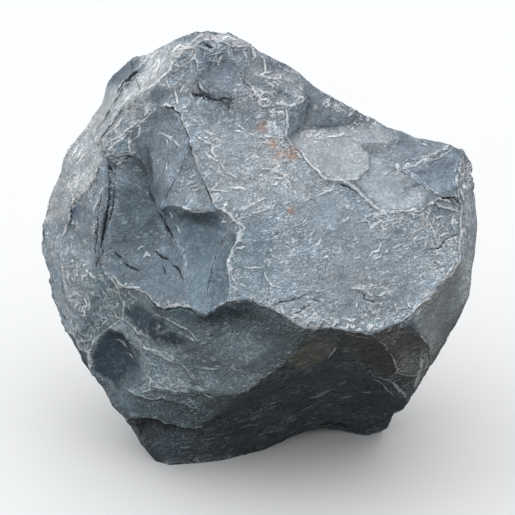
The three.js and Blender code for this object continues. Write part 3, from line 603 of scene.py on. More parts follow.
        -212, -181, -227, -168, -243, -139, -256, -117]),
    "front_low": (0.84, 0.97, 1.02, 0, 10, [-162, -114, -127, -127, -99, -141, -79, -158, -33, -162,
        2, -158, -33, -185, -91, -181, -139, -174, -154, -141]),
}

# Low steps of the front: whiteness, rise and reach in mm, line. The left of the line stands up.
STEPS = {
    "lens_step": (0, 3, 22, [128, 158, 144, 151, 167, 154, 190, 160]),
    "lens_band_step": (0.3, 2, 14, [151, 137, 167, 139, 185, 147, 196, 160]),
    "oval_step": (0.3, 2.5, 25, [133, 105, 147, 114, 151, 132, 139, 148, 128, 158]),
    "wedge_top_step": (0.5, 3, 18, [198, 124, 214, 129, 231, 135, 247, 143, 260, 147]),
    "wedge_side_step": (0.5, 3, 18, [246, 85, 231, 94, 216, 109, 198, 124]),
    "wedge_low_step": (0.4, 2.5, 10, [227, 85, 239, 79, 256, 81, 274, 72]),
    "flake_left_step": (0.6, 1.8, 25, [35, 82, 20, 68, -3, 59, -36, 48]),
    "flake_mid_step": (0.5, 1.6, 20, [105, 95, 86, 86, 59, 75]),
    "flake_low_step": (0.5, 1.6, 20, [30, -1, 6, -12, -17, -14, -35, -6]),
    "flake_right_step": (0.6, 1.8, 16, [227, 56, 209, 48, 190, 52, 171, 48, 154, 56]),
    "flake_far_step": (0.5, 1.6, 14, [233, 48, 242, 30, 236, 13, 247, 2]),
    "foot_step": (0.4, 1.8, 16, [139, -40, 155, -53, 170, -58, 182, -68, 198, -70]),
    "foot_step_2": (0.3, 1.8, 16, [20, -64, 32, -59, 48, -56, 70, -48]),
    "crown_p_left": (0.25, 2.5, 15, [-79, 237, -74, 252, -63, 262, -55, 265]),
    "crown_p_right": (0.1, 2.5, 14, [-25, 254, -25, 237, -28, 223, -36, 214]),
    "crown_upper_step": (0.5, 2, 12, [-76, 273, -70, 262, -52, 267, -40, 265, -28, 262, -20, 252]),
    "ledge_step": (0.5, 3, 15, [5, 240, 14, 235, 39, 223, 56, 219, 66, 213]),
    "keel_top_step": (0.4, 3.5, 20, [-164, -183, -139, -177, -112, -179, -83, -183, -58, -187, -29, -187]),
    "keel_mid_step": (0.3, 2.5, 16, [-185, -183, -164, -187, -141, -190, -113, -191, -94, -200, -78, -209]),
    "front_rib_step": (0.3, 3, 22, [-79, -158, -99, -141, -127, -127, -154, -122, -174, -112]),
    "front_band_step": (0.3, 3, 22, [-78, -121, -94, -106, -116, -97, -132, -93, -150, -74]),
    "strip_step_1": (0.3, 1.6, 14, [-217, 173, -208, 185, -196, 205, -182, 223, -162, 242]),
    "strip_step_2": (0.4, 1.4, 12, [-219, 148, -205, 167, -191, 189, -174, 209]),
    "block_step": (0.3, 4, 14, [-187, 220, -178, 231, -166, 242, -156, 254, -150, 271]),
    "hollow_step_1": (0.2, 2.5, 14, [-141, 12, -132, 2, -120, -1, -109, -12, -104, -21, -98, -32]),
    "hollow_step_2": (0.2, 2.5, 12, [-196, 10, -183, 1, -171, -13, -156, -20]),
    "plate_step": (0.2, 2, 14, [-70, -68, -68, -45, -62, -17, -55, 7, -40, 33]),
    "shoulder_step": (0.6, 2.5, 18, [-262, 40, -254, 63, -240, 81, -219, 110]),
}

# Crushed scratches of the front: brightness, lines.
SCRATCHES = {
    "face_column": (1, [[-9, 227, -5, 223, -2, 219, 3, 217], [1, 227, 6, 221, 16, 223],
        [12, 214, 1, 213, 1, 210, 3, 206, 9, 204, 17, 206], [13, 209, 22, 206, 26, 208],
        [14, 200, 24, 196, 17, 191, 25, 190], [10, 186, 20, 183, 14, 179, 28, 178, 22, 174],
        [1, 164, 12, 166, 22, 164], [6, 156, 13, 159, 20, 155], [-9, 133, -2, 136, 3, 136],
        [3, 120, 14, 120, 21, 121], [20, 127, 28, 128, 29, 122, 21, 120, 29, 116, 39, 112, 47, 113],
        [17, 108, 28, 109, 35, 108, 44, 112], [18, 99, 24, 99, 30, 105], [51, 143, 60, 135]]),
    "face_left": (0.9, [[-85, 166, -76, 160, -70, 156, -59, 154, -63, 145, -56, 136],
        [-71, 144, -66, 139, -59, 133], [-51, 128, -44, 121, -43, 116, -28, 109],
        [-71, 171, -63, 167, -58, 171], [-64, 124, -58, 120], [-29, 181, -22, 178, -17, 174],
        [-13, 167, -1, 167], [-30, 173, -20, 171], [-79, 117, -74, 109, -67, 95, -66, 93, -51, 91, -40, 90],
        [-36, 95, -28, 94, -22, 95, -16, 91], [-62, 85, -59, 78, -52, 82], [-55, 68, -48, 66, -39, 59],
        [-51, 47, -47, 49, -41, 47]]),
    "notch": (0.9, [[48, 214, 52, 219, 58, 216, 51, 209], [94, 163, 106, 164, 117, 167],
        [170, 148, 174, 152], [93, 154, 95, 151], [171, 110, 177, 116], [185, 124, 191, 117, 187, 113],
        [87, 91, 95, 90, 105, 94]]),
    "face_middle": (0.9, [[-22, 63, -10, 70, 1, 75, 12, 81], [-47, 64, -39, 59, -36, 55], [39, 67, 45, 66],
        [-24, 45, -18, 40, -26, 33, -26, 25, -21, 21, -17, 24], [-29, 13, -17, 14],
        [-35, 2, -36, -14, -36, -22, -33, -26, -28, -37], [-24, -36, -16, -41],
        [10, -5, 16, -1, 18, -7, 14, -12], [10, -18, 9, -24, 16, -32, 18, -36, 29, -39], [18, 6, 25, 1],
        [47, 7, 53, 2], [86, 25, 85, 21, 78, 17], [90, -2, 97, 3], [59, 37, 63, 40], [71, 29, 76, 36],
        [62, -24, 67, -18], [91, 89, 102, 91]]),
    "brow": (1, [[33, -67, 35, -75, 43, -81], [72, -81, 78, -75, 83, -83, 72, -82], [60, -87, 72, -86],
        [89, -86, 95, -89], [97, -64, 102, -70], [44, -74, 52, -79, 62, -83], [14, -62, 22, -67],
        [116, -83, 128, -86, 136, -82]]),
    "face_right": (0.95, [[225, 56, 232, 48, 229, 40], [237, 59, 244, 52, 251, 56],
        [255, 24, 262, 16, 269, 20], [242, -3, 250, -9, 256, -6], [248, -18, 255, -14],
        [267, 58, 265, 45, 269, 36], [217, 24, 224, 28, 231, 25], [208, 39, 214, 35, 221, 39],
        [114, 47, 118, 49, 124, 56], [140, 48, 148, 51, 151, 44, 160, 47, 151, 37],
        [145, 55, 158, 59, 174, 59, 178, 52], [166, 44, 173, 36], [173, 26, 177, 29],
        [183, 45, 193, 49, 196, 58], [154, 6, 162, 10, 168, 21], [183, 12, 190, 16, 197, 18],
        [233, 49, 239, 36, 244, 18, 240, 14, 233, 17], [251, 45, 256, 39], [236, 9, 247, 6, 252, 2],
        [247, 29, 255, 32, 262, 33], [231, -6, 236, -14], [260, -3, 266, -10, 260, -17, 256, -26],
        [224, -20, 228, -28], [127, -41, 143, -43, 158, -41], [135, -68, 137, -60], [185, -63, 190, -67],
        [202, -56, 205, -63, 210, -68], [162, -52, 173, -48]]),
    "corner": (0.8, [[251, 144, 258, 150], [275, 129, 273, 118, 277, 110], [281, 121, 278, 108],
        [273, 94, 278, 86], [221, 151, 227, 154, 231, 150], [112, 200, 104, 208, 101, 200],
        [121, 190, 128, 197]]),
    "left_low": (0.9, [[-265, 9, -265, -6, -262, -32, -260, -55],
        [-258, -17, -255, -21, -256, -32, -254, -40], [-259, -55, -251, -52, -246, -47, -242, -55],
        [-247, -67, -244, -60], [-236, -66, -231, -66, -233, -59, -237, -55],
        [-237, -82, -236, -78, -231, -79, -233, -85], [-228, -59, -227, -71], [-214, -64, -213, -74],
        [-212, -83, -206, -82, -204, -86, -209, -90, -212, -95],
        [-198, -25, -191, -32, -178, -41, -160, -39], [-196, -44, -191, -48, -193, -53],
        [-175, -45, -174, -53, -168, -56], [-196, -72, -191, -81, -181, -82],
        [-258, -101, -252, -101, -244, -113], [-240, -106, -236, -112, -227, -112, -224, -105],
        [-225, -120, -223, -113, -217, -108], [-191, -110, -185, -113, -179, -120], [-237, -26, -232, -24],
        [-229, -20, -221, -28]]),
    "left_strip": (0.8, [[-232, 143, -240, 136, -248, 127], [-208, 154, -202, 162], [-224, 116, -217, 118],
        [-240, 83, -247, 78, -252, 67], [-217, 83, -213, 93, -205, 99], [-221, 58, -219, 70, -216, 81],
        [-267, 29, -262, 43], [-275, 24, -271, 32]]),
    "ledge": (1, [[-204, 136, -196, 140, -187, 137, -179, 140, -171, 141, -164, 136],
        [-197, 131, -190, 135, -183, 132, -177, 136], [-198, 128, -197, 118, -198, 108],
        [-208, 147, -201, 143, -194, 144], [-186, 128, -179, 131]]),
    "shelf": (0.9, [[-194, 175, -186, 186, -175, 197], [-196, 159, -183, 167, -170, 178, -160, 186],
        [-158, 185, -159, 168, -168, 160], [-171, 159, -174, 150],
        [-193, 132, -191, 125, -185, 129, -181, 133], [-189, 124, -190, 108],
        [-131, 171, -125, 167, -120, 162, -114, 163, -117, 155], [-114, 160, -108, 156, -105, 148],
        [-122, 132, -123, 118], [-124, 160, -120, 154], [-162, 10, -156, 16, -151, 14],
        [-155, -1, -150, 6, -145, 1], [-112, 44, -108, 35], [-121, 60, -116, 52], [-151, 193, -145, 202]]),
    "crown": (0.9, [[-140, 250, -137, 258, -133, 269], [-120, 256, -116, 262, -116, 266],
        [-118, 270, -114, 277, -112, 282, -105, 288, -93, 283, -85, 282, -79, 286],
        [-112, 271, -106, 271, -102, 279], [-94, 270, -89, 275, -85, 279], [-91, 267, -87, 271, -82, 265],
        [-91, 289, -86, 296, -75, 302], [-79, 285, -68, 279, -60, 275], [-58, 273, -47, 275],
        [-59, 263, -56, 269, -55, 260, -49, 270], [-40, 274, -37, 270], [-22, 277, -16, 271, -18, 265],
        [-10, 281, -2, 271, -5, 269], [2, 244, 7, 248, 21, 251], [5, 244, 10, 242, 24, 239],
        [-78, 239, -75, 227, -71, 224], [-30, 232, -25, 231], [-112, 227, -109, 219, -108, 206],
        [-98, 235, -104, 223], [-90, 223, -87, 213], [-101, 202, -94, 206, -93, 210]]),
    "front_bands": (0.45, [[-155, -120, -139, -127, -122, -135, -102, -141, -91, -152, -83, -163],
        [-178, -82, -167, -93, -158, -102], [-139, -76, -124, -82, -109, -87, -94, -99, -83, -113],
        [-151, -122, -136, -125, -124, -131], [-78, -151, -64, -151, -52, -152]]),
    "under_dashes": (0.5, [[71, -190, 86, -185, 102, -179], [106, -173, 121, -168], [-45, -246, -36, -242],
        [-10, -220, 6, -212], [17, -200, 35, -191], [44, -182, 58, -177], [112, -193, 128, -187],
        [139, -182, 155, -178], [58, -206, 74, -201], [-24, -233, -7, -228], [-78, -247, -59, -242],
        [-105, -260, -89, -256], [155, -163, 171, -171, 187, -185],
        [224, -124, 223, -139, 219, -155, 209, -174], [117, -104, 133, -108, 152, -109]]),
    "brow_chips": (0.95, [[-152, -51, -144, -55], [-139, -60, -132, -67], [-127, -68, -118, -64],
        [-113, -67, -104, -63], [-97, -63, -89, -68], [-83, -71, -76, -78], [-74, -81, -66, -75],
        [-62, -72, -55, -67], [-51, -64, -43, -59], [-39, -60, -29, -58], [58, -98, 64, -93],
        [74, -102, 79, -94], [93, -102, 97, -95], [177, -102, 182, -94], [190, -98, 197, -90],
        [205, -87, 210, -79], [217, -79, 224, -71], [231, -64, 236, -58], [-29, -59, -22, -63],
        [-14, -56, -7, -62], [1, -62, 7, -58], [12, -67, 20, -63], [25, -72, 33, -68], [47, -82, 53, -76],
        [63, -90, 70, -83], [82, -93, 87, -86], [99, -94, 106, -87], [118, -97, 124, -90],
        [135, -99, 141, -93], [151, -98, 156, -90], [167, -95, 171, -86], [182, -87, 187, -79],
        [197, -81, 201, -72], [212, -72, 216, -64], [224, -63, 231, -56], [235, -49, 243, -44],
        [247, -36, 255, -32]]),
    "face_cluster": (0.95, [[143, 52, 148, 58], [151, 40, 158, 48], [154, 51, 162, 59], [159, 43, 166, 52],
        [167, 41, 171, 49], [174, 48, 179, 56], [132, -1, 139, 1], [151, 1, 156, 5], [160, -2, 167, 3],
        [170, 7, 177, 10], [139, -35, 147, -39], [166, -39, 175, -43]]),
    "front_mid": (0.4, [[-155, -118, -148, -125], [-140, -129, -128, -131, -116, -137],
        [-104, -139, -97, -148, -89, -160, -82, -167], [-79, -151, -68, -150], [-60, -147, -49, -150],
        [-93, -102, -97, -95], [-97, -105, -86, -113], [-139, -175, -124, -174, -116, -177],
        [-110, -177, -91, -178], [-13, -171, -14, -182], [-175, -128, -167, -135], [-164, -178, -167, -182],
        [26, -82, 21, -75], [44, -105, 55, -104], [-83, -89, -81, -95]]),
}

# Tone of the stone where no face is drawn.
BARE_TINT = np.array([0.95, 1.03, 1.11])

# Patches of crushed flecks on the front: density, outline.
FLECK_ZONES = {
    "rim_low": (0.6, [-70, 97, -59, 91, -43, 72, -26, 59, -35, 48, -56, 67, -67, 81]),
    "right_face": (0.3, [247, -39, 277, -6, 288, -17, 263, -98, 225, -155, 212, -155, 233, -117, 217, -93]),
    "front_triangle": (-0.6, [-175, -68, -150, -63, -132, -72, -124, -91, -132, -93, -148, -112,
        -173, -87]),
    "face_column": (0.75, [-7, 229, 14, 232, 36, 208, 30, 173, 47, 145, 58, 124, 47, 102, 14, 118, -2, 159,
        -10, 200]),
    "face_upper": (0.35, [-71, 197, -7, 202, 1, 145, 17, 112, -37, 98, -62, 118]),
    "face_left_rim": (0.55, [-40, 59, -13, 59, -7, 24, -18, -6, -24, -55, -40, -58, -37, -6, -26, 26]),
    "face_right": (0.9, [147, 62, 220, 62, 263, 48, 271, -1, 247, -30, 231, 2, 204, 29, 163, 37]),
    "face_foot": (0.85, [6, -60, 37, -58, 74, -74, 118, -74, 179, -58, 233, -41, 213, -76, 155, -101,
        71, -94, 30, -76]),
    "face_low_right": (0.55, [132, -30, 173, -36, 198, -58, 187, -74, 150, -66]),
    "crown": (0.55, [-116, 270, -91, 286, -35, 286, -24, 267, -62, 259, -83, 251, -108, 240, -121, 248]),
    "shelf": (0.45, [-155, 219, -145, 194, -170, 170, -197, 145, -175, 132, -197, 124, -208, 145,
        -191, 183]),
    "left_low": (0.9, [-267, -6, -216, -6, -200, -30, -202, -87, -227, -125, -254, -104, -267, -58]),
    "left_mid": (0.4, [-254, 105, -213, 110, -216, 24, -265, 10, -273, 44]),
    "nub": (0.8, [-205, -25, -175, -30, -173, -58, -183, -87, -202, -90]),
    "ledge_right": (0.4, [6, 251, 58, 246, 68, 213, 39, 208, 6, 224]),
    "front_mid": (0.35, [-178, -82, -132, -85, -83, -114, -29, -155, -37, -182, -132, -174, -151, -139]),
    "right_low": (0.45, [198, -82, 223, -68, 242, -98, 233, -120, 206, -98]),
    "skyline_right": (0.4, [71, 229, 158, 187, 139, 178, 98, 189, 74, 213]),
    "dark_scoop": (-0.6, [-224, -128, -212, -106, -197, -99, -182, -102, -168, -121, -152, -152, -168, -175,
        -189, -179, -200, -166, -223, -152]),
    "hollow": (-0.4, [-155, 189, -135, 197, -110, 183, -93, 145, -58, 71, -56, 62, -40, 37, -68, -45,
        -71, -68, -145, -44, -189, -6, -197, 91, -189, 124, -164, 135]),
    "right_edge_zone": (0.9, [267, 132, 285, 125, 288, 24, 271, -6, 266, 71]),
}

# Rust: radius in mm and place as seen.
RUST_SPOTS = {
    "rust_1": (8, (6, 177)),
    "rust_2": (7, (21, 154)),
    "rust_3": (7, (29, 139)),
    "rust_4": (9, (47, 140)),
    "rust_5": (6, (45, 63)),
}

# Dishes of the front: depth, half length, half width in mm, turn in degrees, middle as seen.
DISHES = {
    "crown_scoop": (4, 17, 24, 0, (-7, 248)),
    "lens_hollow": (6, 34, 17, -22, (163, 159)),
    "oval_swell": (-3, 44, 28, -25, (102, 139)),
    "light_hollow": (4, 42, 26, -35, (182, 94)),
    "wedge_hollow": (3.5, 30, 20, 10, (244, 112)),
    "flank_dent": (4, 8, 22, -22, (-250, 58)),
    "front_hollow": (4, 46, 30, 15, (-33, -87)),
    "plate_hollow": (4, 26, 40, -10, (-71, 24)),
    "olive_hollow": (3, 26, 18, -15, (74, -133)),
    "right_hollow": (4, 26, 24, -40, (200, -128)),
    "hollow_deep": (3, 26, 44, 10, (-164, 91)),
}


class BoulderShape(bpy.types.PropertyGroup):
    """Sizes of the relief that is worked into the stone."""

    divisions: bpy.props.IntProperty(
        name="Divisions", description="Grid steps along each side of a face of the solid", default=5, min=1
    )
    evening_passes: bpy.props.IntProperty(
        name="Evening passes", description="Passes that round the open faces between ridges", default=8
    )
    crest_reach: bpy.props.FloatProperty(
        name="Crest reach", description="How far a broken edge lifts its faces", default=0.004, unit="LENGTH"
    )
    swell: bpy.props.FloatProperty(
        name="Swell", description="Height of the slow waves of a face", default=0.0011, unit="LENGTH"
    )
    scar: bpy.props.FloatProperty(
        name="Scar", description="Depth of the broad shell-shaped scars", default=0.004, unit="LENGTH"
    )
    small_scar: bpy.props.FloatProperty(
        name="Small scar", description="Depth of the small shell-shaped scars", default=0.0015, unit="LENGTH"
    )
    cell_lean: bpy.props.FloatProperty(
        name="Face lean", description="Rise for each length of the fracture faces behind", default=0.13
    )
    flake_step: bpy.props.FloatProperty(
        name="Flake step", description="Height of one flake step", default=0.0012, unit="LENGTH"
    )
    cleavage: bpy.props.FloatProperty(
        name="Cleavage", description="Height of the splitting marks", default=0.0012, unit="LENGTH"
    )
    grain: bpy.props.FloatProperty(
        name="Grain", description="Height of the fine roughness", default=0.00035, unit="LENGTH"
    )
    nick: bpy.props.FloatProperty(
        name="Nick", description="Depth of the nicks along ridges", default=0.001, unit="LENGTH"
    )


class BoulderFinish(bpy.types.PropertyGroup):
    """Colours of the slate and of the shade painted into it."""

    slate: bpy.props.FloatVectorProperty(
        name="Slate", description="Clean broken slate", default=(0.36, 0.41, 0.445), subtype="COLOR", size=3
    )
    warm_slate: bpy.props.FloatVectorProperty(
        name="Warm slate", description="Dusty slate", default=(0.39, 0.415, 0.43), subtype="COLOR", size=3
    )
    bruise: bpy.props.FloatVectorProperty(
        name="Bruise", description="Crushed stone", default=(0.94, 0.95, 0.95), subtype="COLOR", size=3
    )
    # Painted shade: the near-black of cracks, folds and the shadows beside crushed marks.
    painted_shade: bpy.props.FloatVectorProperty(
        name="Recess", description="Depth of a crack", default=(0.018, 0.021, 0.024), subtype="COLOR", size=3
    )
    # Earth and painted shade: faces turned down are darkened towards this colour.
    soil_and_shade: bpy.props.FloatVectorProperty(
        name="Soil", description="Earth underneath", default=(0.075, 0.072, 0.066), subtype="COLOR", size=3
    )
    rust: bpy.props.FloatVectorProperty(
        name="Rust", description="Iron bloom", default=(0.78, 0.42, 0.27), subtype="COLOR", size=3
    )
    roughness: bpy.props.FloatProperty(
        name="Roughness", description="Roughness of the clean slate", default=0.78, subtype="FACTOR"
    )


class BoulderStage(bpy.types.PropertyGroup):
    """Floor and light."""

    floor_colour: bpy.props.FloatVectorProperty(
        name="Floor", description="Pale floor", default=(0.86, 0.86, 0.86), subtype="COLOR", size=3
    )
    floor_size: bpy.props.FloatProperty(
        name="Floor size", description="Side of the floor", default=24.0, unit="LENGTH"
    )
    sky_high: bpy.props.FloatProperty(name="Sky", description="Light from above", default=1.55)
    sky_low: bpy.props.FloatProperty(name="Skirt", description="Light from below", default=0.1)


def smooth_ramp(value, low, high):
    """0 below low, 1 above high, and a cubic 3 t t - 2 t t t between them."""
    t = np.clip((value - low) / (high - low), 0.0, 1.0)
    return t * t * (3.0 - 2.0 * t)


def ramped(value, name):
    """A smooth ramp from 0 to 1 over one of the named spans."""
    return smooth_ramp(value, *SPANS[name])


def scattered(cells, seed):
    """A number from -1 to 1 for each lattice corner: its three indices are multiplied and scrambled."""
    index = cells.astype(np.uint32)
    key = (index * CORNER_FACTORS).sum(axis=1, dtype=np.uint32)
    key = key + np.full(len(key), seed * SEED_STEP + SEED_START, dtype=np.uint32)
    key = (key ^ (key >> 15)) * MIX_FACTORS[0]
    key = (key ^ (key >> 13)) * MIX_FACTORS[1]
    key = key ^ (key >> 16)
    return key.astype(np.float64) / HALF_RANGE - 1.0


def waves(points, size, seed):
    """Smooth noise: scattered values on a turned lattice of that size, blended by fifth-power weights."""
    place = points @ LATTICE_TURN.T / size + seed * SEED_SHIFT
    cell = np.floor(place)
    t = place - cell
    blend = t * t * t * (t * (t * 6.0 - 15.0) + 10.0)
    cell = cell.astype(np.int64)
    total = np.zeros(len(points))
    for corner in CORNERS:
        weight = np.where(corner == 1, blend, 1.0 - blend).prod(axis=1)
        total += weight * scattered(cell + corner, seed)
    return total


def noise(points, name, gain=0.5):
    """One of the named noises, each layer half as long and gain times as high as the one before."""
    size, seed, layers = NOISES[name]
    total = np.zeros(len(points))
    height = 1.0
    for layer in range(layers):
        total += height * waves(points, size / 2.0**layer, seed + layer)
        height *= gain
    return total


def broken_cells(points, size, seed):
    """Fracture faces: points shared out to the nearest of scattered seeds, one in each cell of that size.

    Gives the cell of the nearest seed, that of the next nearest, the offset from the nearest seed, and half
    the difference of both distances, which is 0 on the border of two faces.
    """
    place = points / size
    home = np.floor(place).astype(np.int64)
    near = np.full(len(points), FAR)
    next_near = np.full(len(points), FAR)
    cell = home.copy()
    next_cell = home.copy()
    offset = np.zeros(points.shape)
    for step in NEIGHBOURS:
        other = home + step
        shift = np.stack([scattered(other, seed + axis) for axis in range(3)], axis=1)
        away = place - (other + 0.5 + CELL_SCATTER * shift)
        gap = np.linalg.norm(away, axis=1)
        first = gap < near
        second = ~first & (gap < next_near)
        next_cell = np.where(first[:, None], cell, np.where(second[:, None], other, next_cell))
        next_near = np.where(first, near, np.where(second, gap, next_near))
        cell = np.where(first[:, None], other, cell)
        offset = np.where(first[:, None], away, offset)
        near = np.where(first, gap, near)
    return cell, next_cell, offset * size, (next_near - near) * size / 2.0


def one_of_each(places, digits):
    """Rows of the first of all places that are the same to that many digits, and the new number of each."""
    _, first, back = np.unique(np.round(places, digits), axis=0, return_index=True, return_inverse=True)
    return places[first], back.reshape(-1)


def merged_faces(node):
    """Corner points in mm and triangles of a solid, with loose corners at the same place made one."""
    mesh = node.data
    mesh.calc_loop_triangles()
    places = np.empty(len(mesh.vertices) * 3, dtype=np.float32)
    mesh.vertices.foreach_get("co", places)
    corners = np.empty(len(mesh.loop_triangles) * 3, dtype=np.int32)
    mesh.loop_triangles.foreach_get("vertices", corners)
    places = places.reshape(-1, 3).astype(np.float64) / MM
    points, number = one_of_each(places, SOLID_DIGITS)
    return points, number[corners].reshape(-1, 3)


def gridded_faces(points, faces, count):
    """Each triangle as a grid A + u (B - A) + v (C - A), with u, v and u + v in count steps to 1."""
    rows, columns = np.meshgrid(np.arange(count + 1), np.arange(count + 1), indexing="ij")
    kept = rows + columns <= count
    number = np.full((count + 1, count + 1), -1)
    number[kept] = np.arange(kept.sum())
    u = rows[kept] / count
    v = columns[kept] / count
    corner_a, corner_b, corner_c = (points[faces[:, side]][:, None, :] for side in range(3))
    weight_a = (1.0 - u - v)[None, :, None]
    grid = corner_a * weight_a + corner_b * u[None, :, None] + corner_c * v[None, :, None]
    upright = rows + columns < count
    i = rows[upright]
    j = columns[upright]
    upright_cells = np.stack([number[i, j], number[i + 1, j], number[i, j + 1]], axis=1)
    turned = rows + columns < count - 1
    i = rows[turned]
    j = columns[turned]
    turned_cells = np.stack([number[i + 1, j], number[i + 1, j + 1], number[i, j + 1]], axis=1)
    cells = np.concatenate([upright_cells, turned_cells])
    starts = np.arange(len(faces))[:, None, None] * len(u)
    fine = (cells[None, :, :] + starts).reshape(-1, 3)
    points, number = one_of_each(grid.reshape(-1, 3), GRID_DIGITS)
    return points, number[fine]


def face_normals(points, faces):
    """Cross product of two sides of each triangle, twice its area long."""
    a, b, c = (points[faces[:, side]] for side in range(3))
    return np.cross(b - a, c - a)


def unit(vectors):
    """Vectors scaled to length 1."""
    return vectors / np.maximum(np.linalg.norm(vectors, axis=1), TINY)[:, None]


def gathered(index, values, count):
    """Sum of the rows of values that share an index."""
    columns = [np.bincount(index, weights=column, minlength=count) for column in values.T]
    return np.stack(columns, axis=1)


def neighbour_sums(values, edges):
    """Per point, the sum of the rows of values at the other ends of its edges."""
    total = gathered(edges[:, 0], values[edges[:, 1]], len(values))
    return total + gathered(edges[:, 1], values[edges[:, 0]], len(values))


def point_normals(points, faces):
    """Area-weighted mean of the normals of the faces round each point."""
    normals = face_normals(points, faces)
    total = sum(gathered(faces[:, side], normals, len(points)) for side in range(3))
    return unit(total)


def edges_of(faces):
    """Each side of the net once, with the two faces that it joins."""
    sides = np.concatenate([faces[:, [0, 1]], faces[:, [1, 2]], faces[:, [2, 0]]])
    owner = np.tile(np.arange(len(faces)), 3)
    sides = np.sort(sides, axis=1)
    order = np.lexsort((sides[:, 1], sides[:, 0]))
    sides = sides[order]
    owner = owner[order]
    return sides[0::2], owner[0::2], owner[1::2]


def bends_of(normals, left, right):
    """Degrees between the normals of the faces on both sides of each edge."""
    return np.degrees(np.arccos(np.clip((normals[left] * normals[right]).sum(axis=1), -1.0, 1.0)))


def evened(points, edges, hold, passes):
    """Each point moves halfway to the mean of its neighbours in every pass, less its hold from 0 to 1."""
    share = np.bincount(edges.reshape(-1), minlength=len(points))[:, None]
    for _ in range(passes):
        points = points + 0.5 * (1.0 - hold)[:, None] * (neighbour_sums(points, edges) / share - points)
    return points


def evened_values(values, edges, passes):
    """A row of numbers per point, in every pass made the mean of itself and its neighbours' mean."""
    share = np.bincount(edges.reshape(-1), minlength=len(values))[:, None]
    for _ in range(passes):
        values = 0.5 * values + 0.5 * neighbour_sums(values, edges) / share
    return values


def evened_ridges(points, faces, least, passes):
    """Points with two neighbours along a bend of more than least degrees move halfway to their mean."""
    edges, left, right = edges_of(faces)
    chain = edges[bends_of(unit(face_normals(points, faces)), left, right) > least]
    share = np.bincount(chain.reshape(-1), minlength=len(points))
    links = (share == 2) & (points[:, 2] > RIDGE_FOOT)
    for _ in range(passes):
        mean = neighbour_sums(points, chain) / np.maximum(share, 1)[:, None]
        points = np.where(links[:, None], 0.5 * points + 0.5 * mean, points)
    return points


def ridge_strength(points, faces, edges, left, right, least, most):
    """Per point, how sharp the sharpest bends out and in beside it are: 0 at least degrees, 1 at most."""
    normals = unit(face_normals(points, faces))
    middles = points[faces].mean(axis=1)
    outward = ((middles[right] - middles[left]) * normals[left]).sum(axis=1) < 0.0
    sharp = np.clip((bends_of(normals, left, right) - least) / (most - least), 0.0, 1.0)
    ridge = np.zeros(len(points))
    fold = np.zeros(len(points))
    for side in range(2):
        np.maximum.at(ridge, edges[:, side], np.where(outward, sharp, 0.0))
        np.maximum.at(fold, edges[:, side], np.where(outward, 0.0, sharp))
    return ridge, fold


def spread(values, points, edges, reach, passes):
    """Each value is carried along the net and fades by exp(-distance / reach); the strongest one stays."""
    fade = np.exp(-np.linalg.norm(points[edges[:, 0]] - points[edges[:, 1]], axis=1) / reach)
    values = values.copy()
    for _ in range(passes):
        carried = values.copy()
        np.maximum.at(carried, edges[:, 1], values[edges[:, 0]] * fade)
        np.maximum.at(carried, edges[:, 0], values[edges[:, 1]] * fade)
        values = carried
    return values


def as_seen(points):
    """Right and up of the aim in mm as the observer sees each point, its enlargement, the way to the eye."""
    eye = AIM + TOWARD * SIGHT_DISTANCE
    offset = points - AIM
    near = offset @ TOWARD
    larger = SIGHT_DISTANCE / (SIGHT_DISTANCE - near)
    flat = np.stack([offset @ RIGHT * larger, offset @ UP * larger], axis=1)
    return flat, larger, unit(eye - points)


def wavering(flat):
    """Seen places shifted by small noise, so that a drawn line comes out uneven."""
    spot = np.column_stack([flat, np.zeros(len(flat))])
    aside = WAVER * noise(spot, "line_aside") + FINE_WAVER * noise(spot, "line_aside_fine")
    along = WAVER * noise(spot, "line_along") + FINE_WAVER * noise(spot, "line_along_fine")
    return flat + np.column_stack([aside, along])


def as_points(line):
    """Rows of right and up from a line that gives them in turn."""
    return np.array(line, dtype=np.float64).reshape(-1, 2)


def gap_to_line(flat, line, reach):
    """Distance in mm from seen places to a line, far away where beyond reach.

    Also the nearest place on the line, its share of the way from one end to the other, and the side, 1 or -1.
    """
    line = as_points(line)
    gap = np.full(len(flat), FAR)
    share = np.zeros(len(flat))
    side = np.ones(len(flat))
    nearest = flat.copy()
    low = line.min(axis=0) - reach
    high = line.max(axis=0) + reach
    close = np.nonzero(((flat > low) & (flat < high)).all(axis=1))[0]
    start = line[:-1][None, :, :]
    way = (line[1:] - line[:-1])[None, :, :]
    offset = flat[close][:, None, :] - start
    t = np.clip((offset * way).sum(axis=2) / (way * way).sum(axis=2), 0.0, 1.0)
    foot = start + t[:, :, None] * way
    away = np.linalg.norm(flat[close][:, None, :] - foot, axis=2)
    best = away.argmin(axis=1)
    rows = np.arange(len(close))
    lengths = np.linalg.norm(way[0], axis=1)
    before = np.cumsum(lengths) - lengths
    gap[close] = away[rows, best]
    nearest[close] = foot[rows, best]
    share[close] = (before[best] + t[rows, best] * lengths[best]) / lengths.sum()
    turn = way[0, best, 0] * offset[rows, best, 1] - way[0, best, 1] * offset[rows, best, 0]
    side[close] = np.where(turn < 0.0, -1.0, 1.0)
    return gap, nearest, share, side


def depth_inside(flat, outline):
    """Distance in mm to an outline, positive inside it by the even-odd rule and negative outside."""
    ring = as_points(outline + outline[:2])
    gap = gap_to_line(flat, ring, OUTLINE_ZONE)[0]
    x = flat[:, 0][:, None]
    y = flat[:, 1][:, None]
    x0, y0 = ring[:-1, 0][None, :], ring[:-1, 1][None, :]
    x1, y1 = ring[1:, 0][None, :], ring[1:, 1][None, :]
    spans = (y0 > y) != (y1 > y)
    rise = np.where(y1 == y0, 1.0, y1 - y0)
    crossed = spans & (x < x0 + (y - y0) * (x1 - x0) / rise)
    inside = crossed.sum(axis=1) % 2 == 1
    return np.where(inside, gap, -gap)


